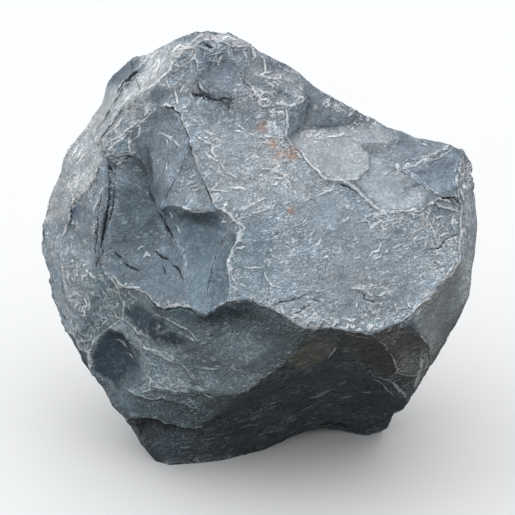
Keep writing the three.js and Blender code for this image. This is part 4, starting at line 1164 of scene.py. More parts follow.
def drawn_to_lines(points, faces, edges, hold):
    """Points close to a drawn line slide on to it along the face, so that edges and cracks are crisp."""
    normals = point_normals(points, faces)
    lengths = np.linalg.norm(points[edges[:, 0]] - points[edges[:, 1]], axis=1)
    share = np.bincount(edges.reshape(-1), minlength=len(points))
    span = np.bincount(edges[:, 0], weights=lengths, minlength=len(points))
    span += np.bincount(edges[:, 1], weights=lengths, minlength=len(points))
    span = span / share
    flat, larger, _ = as_seen(points)
    uneven = wavering(flat)
    facing = normals @ TOWARD
    free = (hold < FREE_HOLD) & (facing > FREE_FACING)
    best = np.full(len(points), FAR)
    shift = np.zeros((len(points), 2))
    for table in (CRESTS, CRACKS, STEPS):
        for row in table.values():
            gap, nearest, _, _ = gap_to_line(uneven, row[-1], DRAW_REACH)
            closer = gap < best
            best = np.where(closer, gap, best)
            shift = np.where(closer[:, None], nearest - uneven, shift)
    moved = free & (best < DRAW_SHARE * span)
    slide = (shift[:, :1] * RIGHT + shift[:, 1:] * UP) / larger[:, None]
    sink = (slide * normals).sum(axis=1) / np.maximum(facing, FREE_FACING)
    slide = slide - sink[:, None] * TOWARD
    return np.where(moved[:, None], points + slide, points)


def apart_in_layers(lines, count):
    """A layer for each line, chosen so that the lines of one layer lie as far apart as they can."""
    taken = [np.full((1, 2), 10.0 * FAR) for _ in range(count)]
    layers = []
    for line in lines:
        line = as_points(line)
        along = np.concatenate([[0.0], np.cumsum(np.linalg.norm(np.diff(line, axis=0), axis=1))])
        stops = np.linspace(0.0, along[-1], int(along[-1] / LINE_STOP) + 2)
        places = np.column_stack([np.interp(stops, along, line[:, k]) for k in range(2)])
        gaps = [np.linalg.norm(places[:, None, :] - other[None, :, :], axis=2).min() for other in taken]
        layer = int(np.argmax(gaps))
        taken[layer] = np.concatenate([taken[layer], places])
        layers.append(layer)
    return layers


def near_line(gap):
    """1 close to the middle of a line, falling to 0 at the end of its zone."""
    return smooth_ramp(-gap, -LINE_ZONE, -LINE_CORE * LINE_ZONE)


def line_maps(name, flat, seen, rows):
    """Two maps per layer from rows of strength, half width and line.

    The side map is the distance from the line in half widths, positive on its left and negative on its right,
    so that it runs through 0 on the line. The near map is the line's strength, which fades out away from it.
    """
    count = LINE_LAYERS[name]
    gap_map = np.full((count, len(flat)), FAR)
    side_map = np.full((count, len(flat)), FAR)
    strength_map = np.zeros((count, len(flat)))
    layers = apart_in_layers([row[-1] for row in rows], count)
    for layer, (strength, half_width, line) in zip(layers, rows):
        gap, _, share, side = gap_to_line(flat, line, 2.0 * LINE_ZONE)
        closer = (gap < gap_map[layer]) & seen
        gap_map[layer] = np.where(closer, gap, gap_map[layer])
        beside = (share > 0.0) & (share < 1.0)
        width = half_width * np.maximum(tapered(share), LEAST_TAPER)
        side_map[layer] = np.where(closer, side * gap / width, side_map[layer])
        strength_map[layer] = np.where(closer, strength * beside, strength_map[layer])
    near_map = strength_map * near_line(gap_map)
    maps = {}
    for layer in range(count):
        maps[f"{name}_side_{layer}"] = np.clip(side_map[layer], -MOST_SIDE, MOST_SIDE)
        maps[f"{name}_near_{layer}"] = near_map[layer]
    return maps


def tapered(share):
    """Width along a line, 0 at both ends and 1 in the middle: the root of 4 t (1 - t)."""
    return np.sqrt(np.clip(4.0 * share * (1.0 - share), 0.0, 1.0)) + END_TAPER


def crushed_rows(lines):
    """Strength, half width and points of crushed lines that are given by brightness and points."""
    return [
        (math.sqrt(brightness), CRUSHED_HALF_WIDTH + CRUSHED_WIDENING * brightness, line)
        for brightness, line in lines
        if brightness > 0.0
    ]


def stepped(value, rise):
    """Stairs: whole numbers of value, each reached over the first share rise of a step."""
    whole = np.floor(value)
    return whole + smooth_ramp(value - whole, 0.0, rise)


def turned_in_view(turn):
    """Three axes: along a line at turn degrees in the observer's view, across it, and towards the eye."""
    along = math.cos(math.radians(turn)) * RIGHT + math.sin(math.radians(turn)) * UP
    return np.stack([along, np.cross(TOWARD, along), TOWARD])


class StoneNet:
    """The solid gridded, rounded between ridges and pulled on to the drawn lines, and how it is seen."""

    def __init__(self, shape):
        points, faces = merged_faces(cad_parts[STONE_NODE])
        points = evened_ridges(points, faces, EVENED_BEND, EVENED_PASSES)
        points, self.faces = gridded_faces(points, faces, shape.divisions)
        self.edges, left, right = edges_of(self.faces)
        self.ridge, self.fold = ridge_strength(points, self.faces, self.edges, left, right, *RIDGE_BENDS)
        hold = np.clip(np.maximum(self.ridge, self.fold) * RIDGE_HOLD, 0.0, 1.0)
        hold[points[:, 2] < BASE_ZONE] = 1.0
        points = evened(points, self.edges, hold, shape.evening_passes)
        self.points = drawn_to_lines(points, self.faces, self.edges, hold)
        self.normals = point_normals(self.points, self.faces)
        self.broad = unit(evened_values(self.normals, self.edges, BROAD_PASSES))
        self.flat, _, to_eye = as_seen(self.points)
        self.uneven = wavering(self.flat)
        self.facing = (self.broad * to_eye).sum(axis=1)
        self.front = ramped(self.facing, "front")
        self.back = 1.0 - self.front
        self.under = ramped(-self.broad[:, 2], "under")


class FractureFaces:
    """Fracture faces of the undrawn sides: each leans its own way, some borders are chipped or open."""

    def __init__(self, net, shape):
        bends = [noise(net.points, name) for name in ("bend_x", "bend_y", "bend_z")]
        bent = net.points + CELL_BEND * np.stack(bends, axis=1)
        self.cell, next_cell, offset, self.border = broken_cells(bent, CELL_SIZE, CELL_SEED)
        lean = np.stack([scattered(self.cell, seed) for seed in LEAN_SEEDS], axis=1)
        lift = np.clip(shape.cell_lean * (offset * lean).sum(axis=1), -CELL_LIFT, CELL_LIFT)
        self.lift = evened_values(lift[:, None], net.edges, LIFT_PASSES)[:, 0] * net.back
        pair = scattered(self.cell + next_cell, PAIR_SEED)
        self.chip = ramped(pair + CHIP_NOISE * noise(net.points, "chip"), "chip") * net.back
        self.rift = ramped(-pair + RIFT_NOISE * noise(net.points, "rift"), "rift") * net.back
        first = scattered(self.cell, SIDE_SEED) > scattered(next_cell, SIDE_SEED)
        self.side = np.where(first, self.border, -self.border)

    def maps(self):
        """Side and near maps of the chipped and of the open borders, like those of drawn lines."""
        maps = {}
        # Open borders are darkened by the finish as painted shade, chipped ones whitened.
        for name, share in (("chip", self.chip), ("rift", self.rift)):
            half_widths = self.side / BORDER_HALF_WIDTHS[name]
            maps[f"{name}_side_0"] = np.clip(half_widths, -MOST_SIDE, MOST_SIDE)
            maps[f"{name}_near_0"] = share * near_line(self.border)
        return maps


def drawn_height(net, shape, crest_gaps):
    """Height in mm of the drawn forms.

    Crests add rise exp(-gap / reach), and steps the same on their left alone. Cracks take away
    depth (1 - gap / half width), and dishes depth (1 - r r).
    """
    height = np.zeros(len(net.points))
    for gap, (_, rise, _) in zip(crest_gaps, CRESTS.values()):
        height += rise * np.exp(-gap / (shape.crest_reach / MM + CREST_SPREAD * rise)) * net.front
    for _, rise, reach, line in STEPS.values():
        gap, _, share, side = gap_to_line(net.uneven, line, STEP_ZONES * reach)
        raised = (side > 0.0) | (gap < STEP_EDGE)
        height += rise * tapered(share) * np.where(raised, np.exp(-gap / reach), 0.0) * net.front
    for depth, half_width, line in CRACKS.values():
        gap, _, share, _ = gap_to_line(net.uneven, line, CRACK_ZONE)
        taper = tapered(share)
        height -= depth * taper * np.clip(1.0 - gap / (half_width * taper), 0.0, 1.0) * net.front
    for depth, half_length, half_width, turn, middle in DISHES.values():
        away = net.flat - np.array(middle)
        cosine = math.cos(math.radians(turn))
        sine = math.sin(math.radians(turn))
        along = (away[:, 0] * cosine + away[:, 1] * sine) / half_length
        across = (away[:, 1] * cosine - away[:, 0] * sine) / half_width
        height -= depth * np.clip(1.0 - along**2 - across**2, 0.0, 1.0) * net.front
    return height


def crushed_edges(net, crest_gaps):
    """Two maps from 0 to 1: where ridges and broken edges are crushed, and the zone beside them."""
    worn = ramped(noise(net.points, "worn"), "worn")
    white = spread(net.ridge, net.points, net.edges, *WHITE_SPREAD) * worn
    white = white * (RIDGE_WHITE - RIDGE_WHITE_LESS * net.front)
    zone = spread(np.clip(net.ridge * ZONE_GAIN, 0.0, 1.0), net.points, net.edges, *ZONE_SPREAD)
    for gap, (brightness, _, _) in zip(crest_gaps, CRESTS.values()):
        white = np.maximum(white, CREST_WHITE * brightness * np.exp(-gap / CREST_WHITE_FADE) * net.front)
        zone = np.maximum(zone, brightness * np.exp(-gap / CREST_ZONE_FADE) * net.front)
    return white, zone


def rough_height(net, shape, fracture, edge_zone):
    """Height in mm of the roughness, and the crushed rims of the small scars from 0 to 1.

    Splitting marks, slow waves, the lift of fracture faces less their open borders, scars as the distance of
    noise from 0, flakes as stairs of noise, grain, and nicks along the edges.
    """
    points = net.points
    split = points @ turned_in_view(GRAIN_WAYS["under"]).T / SPLIT_STRETCH
    split_share = SPLIT_LEAST + (1.0 - SPLIT_LEAST) * net.under
    rough = shape.cleavage / MM * noise(split, "cleavage") * split_share
    rough += shape.swell / MM * noise(points, "swell")
    opening = np.clip(1.0 - fracture.border / RIFT_WIDTH, 0.0, 1.0)
    rough += fracture.lift - RIFT_DEPTH * fracture.rift * opening
    scarred = ramped(noise(points, "scarred"), "scarred")
    scars = np.abs(noise(points, "scar") + SCAR_BEND * noise(points, "scar_bend"))
    small_scars = np.abs(noise(points, "small_scar") + SMALL_SCAR_BEND * noise(points, "small_scar_bend"))
    rough -= shape.scar / MM * np.minimum(scars, SCAR_MOST)
    scar_share = SCAR_LEAST + (1.0 - SCAR_LEAST) * scarred
    rough -= shape.small_scar / MM * np.minimum(small_scars, SCAR_MOST) * scar_share
    flakes = FLAKE_COUNT * noise(points * FLAKE_STRETCH, "flake", FLAKE_GAIN)
    rough += shape.flake_step / MM * stepped(flakes, FLAKE_RISE)
    rough += shape.grain / MM * (noise(points, "grain") + FINE_GRAIN * noise(points, "fine_grain"))
    nicks = noise(points, "nick") + FINE_NICK * noise(points, "fine_nick") - NICK_START
    rough -= shape.nick / MM * np.clip(nicks, 0.0, 1.0) * edge_zone
    return rough, SCAR_WHITE * np.exp(-small_scars / SCAR_WHITE_FADE) * scarred


def face_tones(net, fracture):
    """Tint and smoothness per point: by fracture face behind, by drawn face in front."""
    # Painted light: faces behind that turn to the left or right, and not down, are made lighter.
    side_light = ramped(np.abs(net.broad[:, 0]), "side_light") * ramped(net.broad[:, 2], "sideways_up")
    change = (CELL_TONE * scattered(fracture.cell, TONE_SEED) + SIDE_LIGHT * side_light) * net.back
    tint = BARE_TINT * (1.0 + change)[:, None]
    calm = CELL_CALM * ramped(scattered(fracture.cell, CALM_SEED), "calm") * net.back
    turned = ramped(net.facing, "turned")
    # The drawn faces' tints are partly tone and partly painted light and shade.
    for red, green, blue, smooth, fade, outline in FACETS.values():
        share = smooth_ramp(depth_inside(net.uneven, outline), -fade, fade) * turned
        tint += share[:, None] * (np.array([red, green, blue]) - tint)
        calm += share * (smooth - calm)
    return tint, calm


def fleck_map(net):
    """Density of crushed flecks: a little behind, and that of the drawn patches in front."""
    fleck = BARE_FLECK * net.back
    for density, outline in FLECK_ZONES.values():
        share = ramped(depth_inside(net.flat, outline), "fleck") * net.front
        fleck += share * (density - fleck)
    return fleck


def rust_map(net):
    """Rust from 0 to 1, fading from the core of each spot to its reach."""
    rust = np.zeros(len(net.points))
    for radius, middle in RUST_SPOTS.values():
        away = np.linalg.norm(net.flat - np.array(middle), axis=1)
        share = smooth_ramp(-away, -RUST_REACH * radius, -RUST_CORE * radius)
        rust = np.maximum(rust, share * net.front)
    return rust


def drawn_line_maps(net):
    """Side and near maps of cracks, crushed edges and scratches, on the side that faces the observer."""
    rows = {
        "crack": [(1.0, half_width, line) for _, half_width, line in CRACKS.values()],
        "edge": crushed_rows((row[0], row[-1]) for table in (CRESTS, STEPS) for row in table.values()),
        "scratch": crushed_rows((bright, line) for bright, lines in SCRATCHES.values() for line in lines),
    }
    maps = {}
    for name, lines in rows.items():
        maps.update(line_maps(name, net.uneven, net.facing > 0.0, lines))
    return maps


def worked_stone(shape):
    """The stone's points, triangles, tint and maps.

    Each point of the net moves along its normal by the drawn and the rough height. The roughness is less
    where the stone turns out of sight, and nothing moves at the base.
    """
    net = StoneNet(shape)
    crest_gaps = [gap_to_line(net.uneven, line, CREST_ZONE)[0] for _, _, line in CRESTS.values()]
    white, edge_zone = crushed_edges(net, crest_gaps)
    fracture = FractureFaces(net, shape)
    edge_zone = np.maximum(edge_zone, fracture.chip * np.exp(-fracture.border / CREST_ZONE_FADE))
    rough, scar_white = rough_height(net, shape, fracture, edge_zone)
    limb = 1.0 - LIMB_LOSS * ramped(-np.abs(net.facing), "limb")
    height = drawn_height(net, shape, crest_gaps) + rough * limb
    height = height * ramped(net.points[:, 2], "above_base")
    points = net.points + net.normals * height[:, None]
    points[:, 2] = np.maximum(points[:, 2], 0.0)
    tint, calm = face_tones(net, fracture)
    maps = {
        "white": np.maximum(white, scar_white),
        "fleck": fleck_map(net),
        "rust": rust_map(net),
        # Faces turned down, darkened by the finish as earth and painted shade.
        "soil_and_shade": ramped(-net.broad[:, 2], "soil_and_shade"),
        "edge_zone": edge_zone,
        # Folds, darkened by the finish as painted shade.
        "hollow": spread(net.fold, points, net.edges, *FOLD_SPREAD),
        "strip": ramped(np.abs(net.broad[:, 0]), "strip") * ramped(net.broad[:, 2], "strip_up"),
        "lower": ramped(-points[:, 2], "lower") * (1.0 - net.under),
        "under": net.under,
        "calm": calm,
    }
    maps.update(fracture.maps())
    maps.update(drawn_line_maps(net))
    return points, net.faces, tint, maps


def stone_mesh(points, faces, tint, maps):
    """A mesh in metres from arrays of points and triangles, with one named map per finish effect."""
    mesh = bpy.data.meshes.new("slate_boulder")
    mesh.vertices.add(len(points))
    mesh.vertices.foreach_set("co", (points * MM).astype(np.float32).reshape(-1))
    mesh.loops.add(faces.size)
    mesh.loops.foreach_set("vertex_index", faces.astype(np.int32).reshape(-1))
    mesh.polygons.add(len(faces))
    mesh.polygons.foreach_set("loop_start", np.arange(0, faces.size, 3, dtype=np.int32))
    mesh.update(calc_edges=True)
    mesh.validate()
    for name, values in maps.items():
        layer = mesh.attributes.new(name, "FLOAT", "POINT")
        layer.data.foreach_set("value", values.astype(np.float32))
    # The tint map carries the slate's tone and painted light and shade.
    colours = np.column_stack([tint, np.ones(len(tint))]).astype(np.float32)
    layer = mesh.attributes.new("tint", "FLOAT_COLOR", "POINT")
    layer.data.foreach_set("color", colours.reshape(-1))
    mesh.shade_smooth()
    mesh.set_sharp_from_angle(angle=SHARP_ANGLE)
    return mesh


class NodeMaker:
    """Adds nodes to one tree. Each value is a plain one or the output of another node."""

    def __init__(self, tree):
        self.tree = tree

    def feed(self, socket, value):
        """Links an output to a socket, or sets the socket to a plain value."""
        if isinstance(value, bpy.types.NodeSocket):
            self.tree.links.new(value, socket)
        else:
            socket.default_value = value

    def add(self, kind, inputs, **settings):
        """A node of that kind with its settings, and its inputs fed by name or number."""
        node = self.tree.nodes.new(kind)
        for name, value in settings.items():
            setattr(node, name, value)
        for name, value in inputs.items():
            self.feed(node.inputs[name], value)
        return node

    def math(self, operation, first, second=0.0, clamp=False):
        """A Math node of two values."""
        node = self.add("ShaderNodeMath", {0: first, 1: second}, operation=operation, use_clamp=clamp)
        return node.outputs[0]

    def plus(self, first, second):
        """Sum of two values."""
        return self.math("ADD", first, second)

    def minus(self, first, second):
        """The first value less the second."""
        return self.math("SUBTRACT", first, second)

    def times(self, first, second):
        """Product of two values."""
        return self.math("MULTIPLY", first, second)

    def most(self, first, second):
        """The larger of two values."""
        return self.math("MAXIMUM", first, second)

    def apart(self, first, second):
        """Distance between two values."""
        return self.math("ABSOLUTE", self.minus(first, second))

    def ramp(self, value, low, high, start, end):
        """A smooth Map Range from low..high to start..end."""
        inputs = {"Value": value, "From Min": low, "From Max": high, "To Min": start, "To Max": end}
        return self.add("ShaderNodeMapRange", inputs, interpolation_type="SMOOTHSTEP").outputs["Result"]

    def eased(self, value, name):
        """One of the named ramps."""
        return self.ramp(value, *RAMPS[name])

    def mix(self, share, first, second, way="MIX"):
        """A colour Mix node."""
        inputs = {"Factor": share, 6: first, 7: second}
        return self.add("ShaderNodeMix", inputs, data_type="RGBA", blend_type=way).outputs[2]

    def tinted(self, first, second):
        """Product of two colours."""
        return self.mix(1.0, first, second, "MULTIPLY")

    def cloud(self, vector, size, detail, roughness, bend):
        """A Noise Texture whose largest features are about size metres."""
        inputs = {"Vector": vector, "Scale": 1.0 / size, "Detail": detail, "Roughness": roughness}
        return self.add("ShaderNodeTexNoise", {**inputs, "Distortion": bend}).outputs["Fac"]

    def attribute(self, name, output="Fac"):
        """One of the stone's named maps."""
        return self.add("ShaderNodeAttribute", {}, attribute_name=name).outputs[output]

    def place(self, output="Object"):
        """Object coordinates, or others of that name."""
        return self.add("ShaderNodeTexCoord", {}).outputs[output]


def solid(colour):
    """A colour with full alpha."""
    return (colour[0], colour[1], colour[2], 1.0)


def streak_group():
    """Streaks: noise drawn out along a turned axis, with strokes and thin veins near its middle."""
    group = bpy.data.node_groups.new("stone_streaks", "ShaderNodeTree")
    make = NodeMaker(group)
    for name in ("Place", "Turn"):
        group.interface.new_socket(name, in_out="INPUT", socket_type="NodeSocketVector")
    for name in ("Length", "Width"):
        group.interface.new_socket(name, in_out="INPUT", socket_type="NodeSocketFloat")
    for name in ("Streak", "Stroke", "Vein"):
        group.interface.new_socket(name, in_out="OUTPUT", socket_type="NodeSocketFloat")
    begin = group.nodes.new("NodeGroupInput")
    finish = group.nodes.new("NodeGroupOutput")
    place, turn, length, width = (begin.outputs[name] for name in ("Place", "Turn", "Length", "Width"))
    scale = make.add("ShaderNodeCombineXYZ", {0: length, 1: width, 2: width}).outputs[0]
    inputs = {"Vector": place, "Rotation": turn, "Scale": scale}
    turned = make.add("ShaderNodeMapping", inputs, vector_type="TEXTURE")
    streak = make.cloud(turned.outputs[0], *STREAK_CLOUD)
    away = make.apart(streak, NOISE_MIDDLE)
    make.feed(finish.inputs["Streak"], streak)
    make.feed(finish.inputs["Stroke"], make.eased(away, "stroke"))
    make.feed(finish.inputs["Vein"], make.eased(away, "vein"))
    return group


def streak_node(make, group, place, way):
    """Streak, stroke and vein of the streak group, placed along one of the stone's grain ways."""
    axes = Matrix(turned_in_view(GRAIN_WAYS[way]).tolist()).transposed()
    length, width = STROKES[way]
    inputs = {"Place": place, "Turn": axes.to_euler(), "Length": length, "Width": width}
    node = make.add("ShaderNodeGroup", inputs, node_tree=group)
    return [node.outputs[name] for name in ("Streak", "Stroke", "Vein")]


def grain_streaks(make, place, maps):
    """Streak, stroke and vein of the grain, along the way in which it runs at each place."""
    group = streak_group()
    streaks = streak_node(make, group, place, "face")
    for way, name in (("strip", "strip"), ("front", "lower"), ("under", "under")):
        others = streak_node(make, group, place, way)
        streaks = [make.mix(maps[name], first, second) for first, second in zip(streaks, others)]
    return streaks


def drawn_lines(make, name, uneven, low, high, aside=0.0):
    """The strongest thin line of that name: full up to low half widths from the middle, none past high.

    A number aside moves the lines over to their right by that many half widths.
    """
    strongest = 0.0
    for layer in range(LINE_LAYERS[name]):
        away = make.plus(make.attribute(f"{name}_side_{layer}"), aside)
        away = make.plus(make.math("ABSOLUTE", away), uneven)
        line = make.ramp(away, low, high, 1.0, 0.0)
        line = make.times(line, make.attribute(f"{name}_near_{layer}"))
        strongest = make.most(line, strongest)
    return strongest


def slate_tone(make, maps, clouds, stroke, lit_stroke):
    """Lightness of the bare slate: clouds, specks and lit strokes, and split layers underneath."""
    tone = make.eased(clouds["broad"], "broad_tone")
    tone = make.times(tone, make.eased(clouds["mottle"], "mottle_tone"))
    tone = make.times(tone, make.eased(clouds["speck"], "speck_tone"))
    tone = make.times(tone, make.eased(lit_stroke, "stroke_tone"))
    split = make.eased(stroke, "split_tone")
    return make.times(tone, make.mix(maps["under"], WHITE, split))


def fleck_density(make, maps, clouds):
    """How thick flecks, curls and threads lie, 0 to 1: more beside edges and in patches, less underneath."""
    density = make.plus(make.times(maps["edge_zone"], EDGE_FLECKS), maps["fleck"])
    density = make.plus(density, make.eased(clouds["patch"], "fleck_patch"))
    density = make.minus(density, make.times(maps["under"], UNDER_FLECKS))
    return make.eased(density, "fleck_zone")


def thin_marks(make, maps, clouds, density, streak, vein):
    """Crushed flecks, curls and threads, and painted shadows beside curls and threads."""
    fleck = make.minus(streak, make.eased(density, "fleck_least"))
    fleck = make.eased(fleck, "fleck")
    breaks = make.eased(clouds["broken"], "curl_breaks")
    curl = make.eased(make.apart(clouds["curl"], NOISE_MIDDLE), "curl")
    curl = make.times(make.times(curl, breaks), density)
    curl_shade = make.eased(make.apart(clouds["curl"], CURL_BESIDE), "curl_shade")
    curl_shade = make.times(make.times(curl_shade, breaks), density)
    breaks = make.eased(clouds["broken"], "thread_breaks")
    zone = make.eased(density, "thread_zone")
    thread = make.times(make.times(vein, breaks), zone)
    thread_shade = make.eased(make.apart(streak, VEIN_BESIDE), "thread_shade")
    thread_shade = make.times(make.times(thread_shade, breaks), zone)
    thin = make.most(fleck, make.most(curl, thread))
    thin = make.times(thin, make.eased(maps["under"], "thin_under"))
    return thin, make.most(curl_shade, thread_shade)


def chalk_marks(make, maps, clouds):
    """Crushed edges, chipped borders and scratches with ragged, broken lines, and painted shadows beside
    them.
    """
    side = make.eased(clouds["speck"], "ragged_side")
    edge = drawn_lines(make, "edge", side, *CHALK_LINE)
    come_and_go = make.times(make.minus(clouds["patch"], NOISE_MIDDLE), COME_AND_GO)
    edge = make.times(edge, make.eased(make.plus(edge, come_and_go), "edge_breaks"))
    edge = make.most(edge, drawn_lines(make, "chip", side, *CHALK_LINE))
    chalk = make.most(edge, drawn_lines(make, "scratch", side, *CHALK_LINE))
    chalk = make.math("MULTIPLY", chalk, make.eased(clouds["broken"], "chalk_breaks"), clamp=True)
    chalk = make.times(chalk, make.eased(maps["under"], "chalk_under"))
    shades = [drawn_lines(make, name, side, *SHADE_LINE, SHADE_ASIDE) for name in ("scratch", "edge")]
    shade = make.times(make.most(*shades), make.eased(clouds["broken"], "chalk_shade"))
    return chalk, shade


def bruise_share(make, maps, clouds):
    """Crushed patches: the white map made ragged by specks and mottle."""
    ragged = maps["white"]
    for name, amount in (("speck", SPECK_RAGGED), ("mottle", MOTTLE_RAGGED)):
        ragged = make.plus(ragged, make.times(make.minus(clouds[name], NOISE_MIDDLE), amount))
    return make.eased(ragged, "bruise")


def crack_share(make, clouds):
    """Cracks and open borders, with sides that specks make uneven."""
    # Cracks and open borders are painted shade; some cracks are shadows painted under overhanging edges.
    side = make.eased(clouds["speck"], "crack_side")
    crack, rift = (drawn_lines(make, name, side, *CRACK_LINE) for name in ("crack", "rift"))
    return make.times(make.most(crack, rift), CRACK_SHADE)


def fine_relief(make, maps, clouds, density, lit_stroke, thin, chalk):
    """Normal of the fine relief: strokes, specks, mottle and flakes, lower where calm, and crushed marks."""
    flake = make.times(clouds["flake"], FLAKE_STEPS)
    rise = make.eased(make.math("FRACT", flake), "flake_rise")
    flake = make.plus(make.math("FLOOR", flake), rise)
    curl = make.times(make.eased(clouds["curl"], "curl_step"), density)
    relief = make.times(lit_stroke, RELIEF["stroke"])
    for name, value in (("speck", clouds["speck"]), ("mottle", clouds["mottle"]), ("flake", flake)):
        relief = make.plus(relief, make.times(value, RELIEF[name]))
    relief = make.minus(relief, RELIEF_REST)
    relief = make.times(relief, make.eased(maps["calm"], "calm_relief"))
    for name, value in (("curl", curl), ("thin", thin), ("chalk", chalk)):
        relief = make.plus(relief, make.times(value, RELIEF[name]))
    inputs = {"Strength": 1.0, "Distance": RELIEF_HEIGHT, "Height": relief}
    return make.add("ShaderNodeBump", inputs).outputs["Normal"]


def slate_material(finish):
    """Slate: mottled blue-grey with streaks, crushed white edges, flecks and rust, with painted shade in the
    cracks, folds and beside marks, earth and painted shade underneath, and painted light and shade on the
    drawn faces.
    """
    material = bpy.data.materials.new("weathered_slate_with_painted_light")
    material.use_nodes = True
    make = NodeMaker(material.node_tree)
    shader = material.node_tree.nodes["Principled BSDF"]
    place = make.place()
    maps = {name: make.attribute(name) for name in PLAIN_MAPS}
    clouds = {name: make.cloud(place, *sizes) for name, sizes in CLOUDS.items()}
    streak, stroke, vein = grain_streaks(make, place, maps)
    rough_patch = make.most(make.eased(clouds["broad"], "rough_patch"), maps["lower"])
    rough_patch = make.times(rough_patch, make.eased(maps["calm"], "calm_strokes"))
    lit_stroke = make.times(stroke, rough_patch)
    density = fleck_density(make, maps, clouds)
    thin, thin_shade = thin_marks(make, maps, clouds, density, streak, vein)
    chalk, chalk_shade = chalk_marks(make, maps, clouds)

    # The tint map: the slate's tone together with painted light and shade.
    tint = make.attribute("tint", "Color")
    half_tint = make.mix(make.eased(maps["under"], "crushed_tint"), WHITE, tint)
    crushed = make.tinted(solid(finish.bruise), half_tint)
    painted_shade = solid(finish.painted_shade)
    dust = make.eased(clouds["patch"], "dust")
    colour = make.mix(dust, solid(finish.slate), solid(finish.warm_slate))
    # Earth and painted shade: faces turned down darken towards this colour.
    soil_and_shade = make.times(maps["soil_and_shade"], make.eased(clouds["mottle"], "soil_and_shade"))
    colour = make.mix(soil_and_shade, colour, solid(finish.soil_and_shade))
    # Tone with the painted light and shade of the tint.
    colour = make.tinted(colour, tint)
    colour = make.tinted(colour, slate_tone(make, maps, clouds, stroke, lit_stroke))
    # Painted shadows beside curls and threads.
    colour = make.mix(make.times(thin_shade, THIN_SHADE), colour, painted_shade)
    colour = make.mix(thin, colour, crushed)
    colour = make.mix(bruise_share(make, maps, clouds), colour, crushed)
    # Painted shadows beside crushed edges and scratches.
    colour = make.mix(chalk_shade, colour, painted_shade)
    colour = make.mix(chalk, colour, crushed)
    rust = make.times(maps["rust"], make.eased(clouds["speck"], "rust"))
    colour = make.mix(rust, colour, solid(finish.rust))
    # Painted shade in the folds.
    colour = make.mix(make.times(maps["hollow"], HOLLOW_SHADE), colour, painted_shade)
    # Painted shade in the cracks and open borders, and painted shadows under overhanging edges.
    colour = make.mix(crack_share(make, clouds), colour, painted_shade)
    make.feed(shader.inputs["Base Color"], colour)

    smoothest = finish.roughness - ROUGH_LESS
    roughest = finish.roughness + ROUGH_MORE
    make.feed(shader.inputs["Roughness"], make.ramp(clouds["mottle"], *ROUGH_SPAN, smoothest, roughest))
    make.feed(shader.inputs["Specular IOR Level"], SPECULAR)
    normal = fine_relief(make, maps, clouds, density, lit_stroke, thin, chalk)
    make.feed(shader.inputs["Normal"], normal)
    return material


def floor_material(stage):
    """Pale floor: a matt surface with a faint cloudiness."""
    material = bpy.data.materials.new("pale_floor")
    material.use_nodes = True
    make = NodeMaker(material.node_tree)
    shader = material.node_tree.nodes["Principled BSDF"]
    cloud = make.cloud(make.place(), *FLOOR_CLOUD)
    darkest = [FLOOR_DARKEST * channel for channel in stage.floor_colour]
    colour = make.mix(cloud, solid(stage.floor_colour), solid(darkest))
    make.feed(shader.inputs["Base Color"], colour)
    make.feed(shader.inputs["Roughness"], FLOOR_ROUGHNESS)
    return material


def soft_sky(stage):
    """World light: bright overhead and a little to the left, dim towards the ground."""
    world = bpy.data.worlds.new("soft_sky")
    world.use_nodes = True
    make = NodeMaker(world.node_tree)
    inputs = {0: make.place("Generated"), 1: Vector(SKY_LEAN).normalized()}
    lean = make.add("ShaderNodeVectorMath", inputs, operation="DOT_PRODUCT")
    strength = make.ramp(lean.outputs["Value"], *SKY_SPAN, stage.sky_low, stage.sky_high)
    background = world.node_tree.nodes["Background"]
    make.feed(background.inputs["Color"], SKY_COLOUR)
    make.feed(background.inputs["Strength"], strength)
    return world


class BOULDER_OT_stone(bpy.types.Operator):
    """Makes the dressed slate boulder and lets it stand for the solid."""

    bl_idname = "boulder.stone"
    bl_label = "Make the boulder"

    def execute(self, context):
        scene = context.scene
        points, faces, tint, maps = worked_stone(scene.boulder_shape)
        mesh = stone_mesh(points, faces, tint, maps)
        mesh.materials.append(slate_material(scene.boulder_finish))
        stone = bpy.data.objects.new("slate_boulder", mesh)
        scene.collection.objects.link(stone)
        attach(stone, "root")
        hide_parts(STONE_NODE)
        return {"FINISHED"}


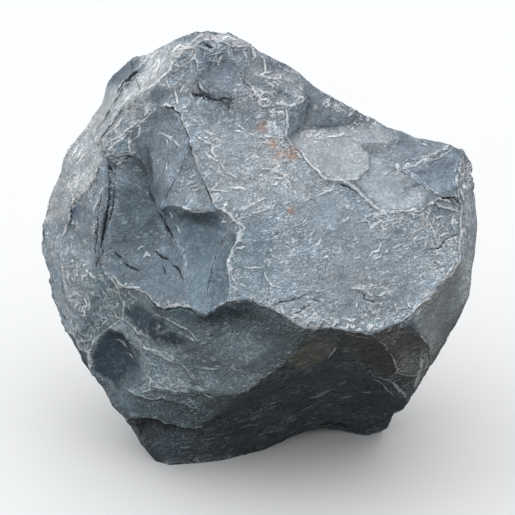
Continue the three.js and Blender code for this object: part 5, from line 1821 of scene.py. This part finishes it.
class BOULDER_OT_stage(bpy.types.Operator):
    """Sets out the pale floor, the soft light and the camera."""

    bl_idname = "boulder.stage"
    bl_label = "Set the stage"

    def execute(self, context):
        scene = context.scene
        stage = scene.boulder_stage
        half = stage.floor_size / 2.0
        corners = [(-half, -half, 0), (half, -half, 0), (half, half, 0), (-half, half, 0)]
        mesh = bpy.data.meshes.new("pale_floor")
        mesh.from_pydata(corners, [], [(0, 1, 2, 3)])
        mesh.materials.append(floor_material(stage))
        floor = bpy.data.objects.new("pale_floor", mesh)
        floor.visible_diffuse = False
        scene.collection.objects.link(floor)
        scene.world = soft_sky(stage)
        scene.view_settings.view_transform = "Standard"
        lens = bpy.data.cameras.new("front_camera")
        lens.sensor_width = SENSOR_WIDTH
        lens.lens = SENSOR_WIDTH * SIGHT_DISTANCE / VIEW_WIDTH
        camera = bpy.data.objects.new("front_camera", lens)
        camera.location = Vector((AIM + TOWARD * SIGHT_DISTANCE) * MM)
        camera.rotation_euler = Vector(-TOWARD).to_track_quat("-Z", "Y").to_euler()
        scene.collection.objects.link(camera)
        scene.camera = camera
        return {"FINISHED"}


class BOULDER_PT_panel(bpy.types.Panel):
    """Lists the boulder's settings and the steps that make it."""

    bl_idname = "BOULDER_PT_panel"
    bl_label = "Landscape boulder"
    bl_space_type = "VIEW_3D"
    bl_region_type = "UI"
    bl_category = "Boulder"

    def draw(self, context):
        layout = self.layout
        for name in ("boulder_shape", "boulder_finish", "boulder_stage"):
            settings = getattr(context.scene, name)
            column = layout.column()
            for prop in settings.bl_rna.properties:
                if prop.identifier not in ("rna_type", "name"):
                    column.prop(settings, prop.identifier)
        layout.operator(BOULDER_OT_stone.bl_idname)
        layout.operator(BOULDER_OT_stage.bl_idname)


CLASSES = (BoulderShape, BoulderFinish, BoulderStage, BOULDER_OT_stone, BOULDER_OT_stage, BOULDER_PT_panel)


def register():
    """Adds the classes and the scene's settings."""
    for cls in CLASSES:
        bpy.utils.register_class(cls)
    bpy.types.Scene.boulder_shape = bpy.props.PointerProperty(type=BoulderShape)
    bpy.types.Scene.boulder_finish = bpy.props.PointerProperty(type=BoulderFinish)
    bpy.types.Scene.boulder_stage = bpy.props.PointerProperty(type=BoulderStage)


def unregister():
    """Removes the scene's settings and the classes."""
    del bpy.types.Scene.boulder_stage
    del bpy.types.Scene.boulder_finish
    del bpy.types.Scene.boulder_shape
    for cls in reversed(CLASSES):
        bpy.utils.unregister_class(cls)


def main():
    """Makes the boulder and its stage."""
    register()
    bpy.ops.boulder.stone()
    bpy.ops.boulder.stage()


if __name__ == "__main__":
    main()
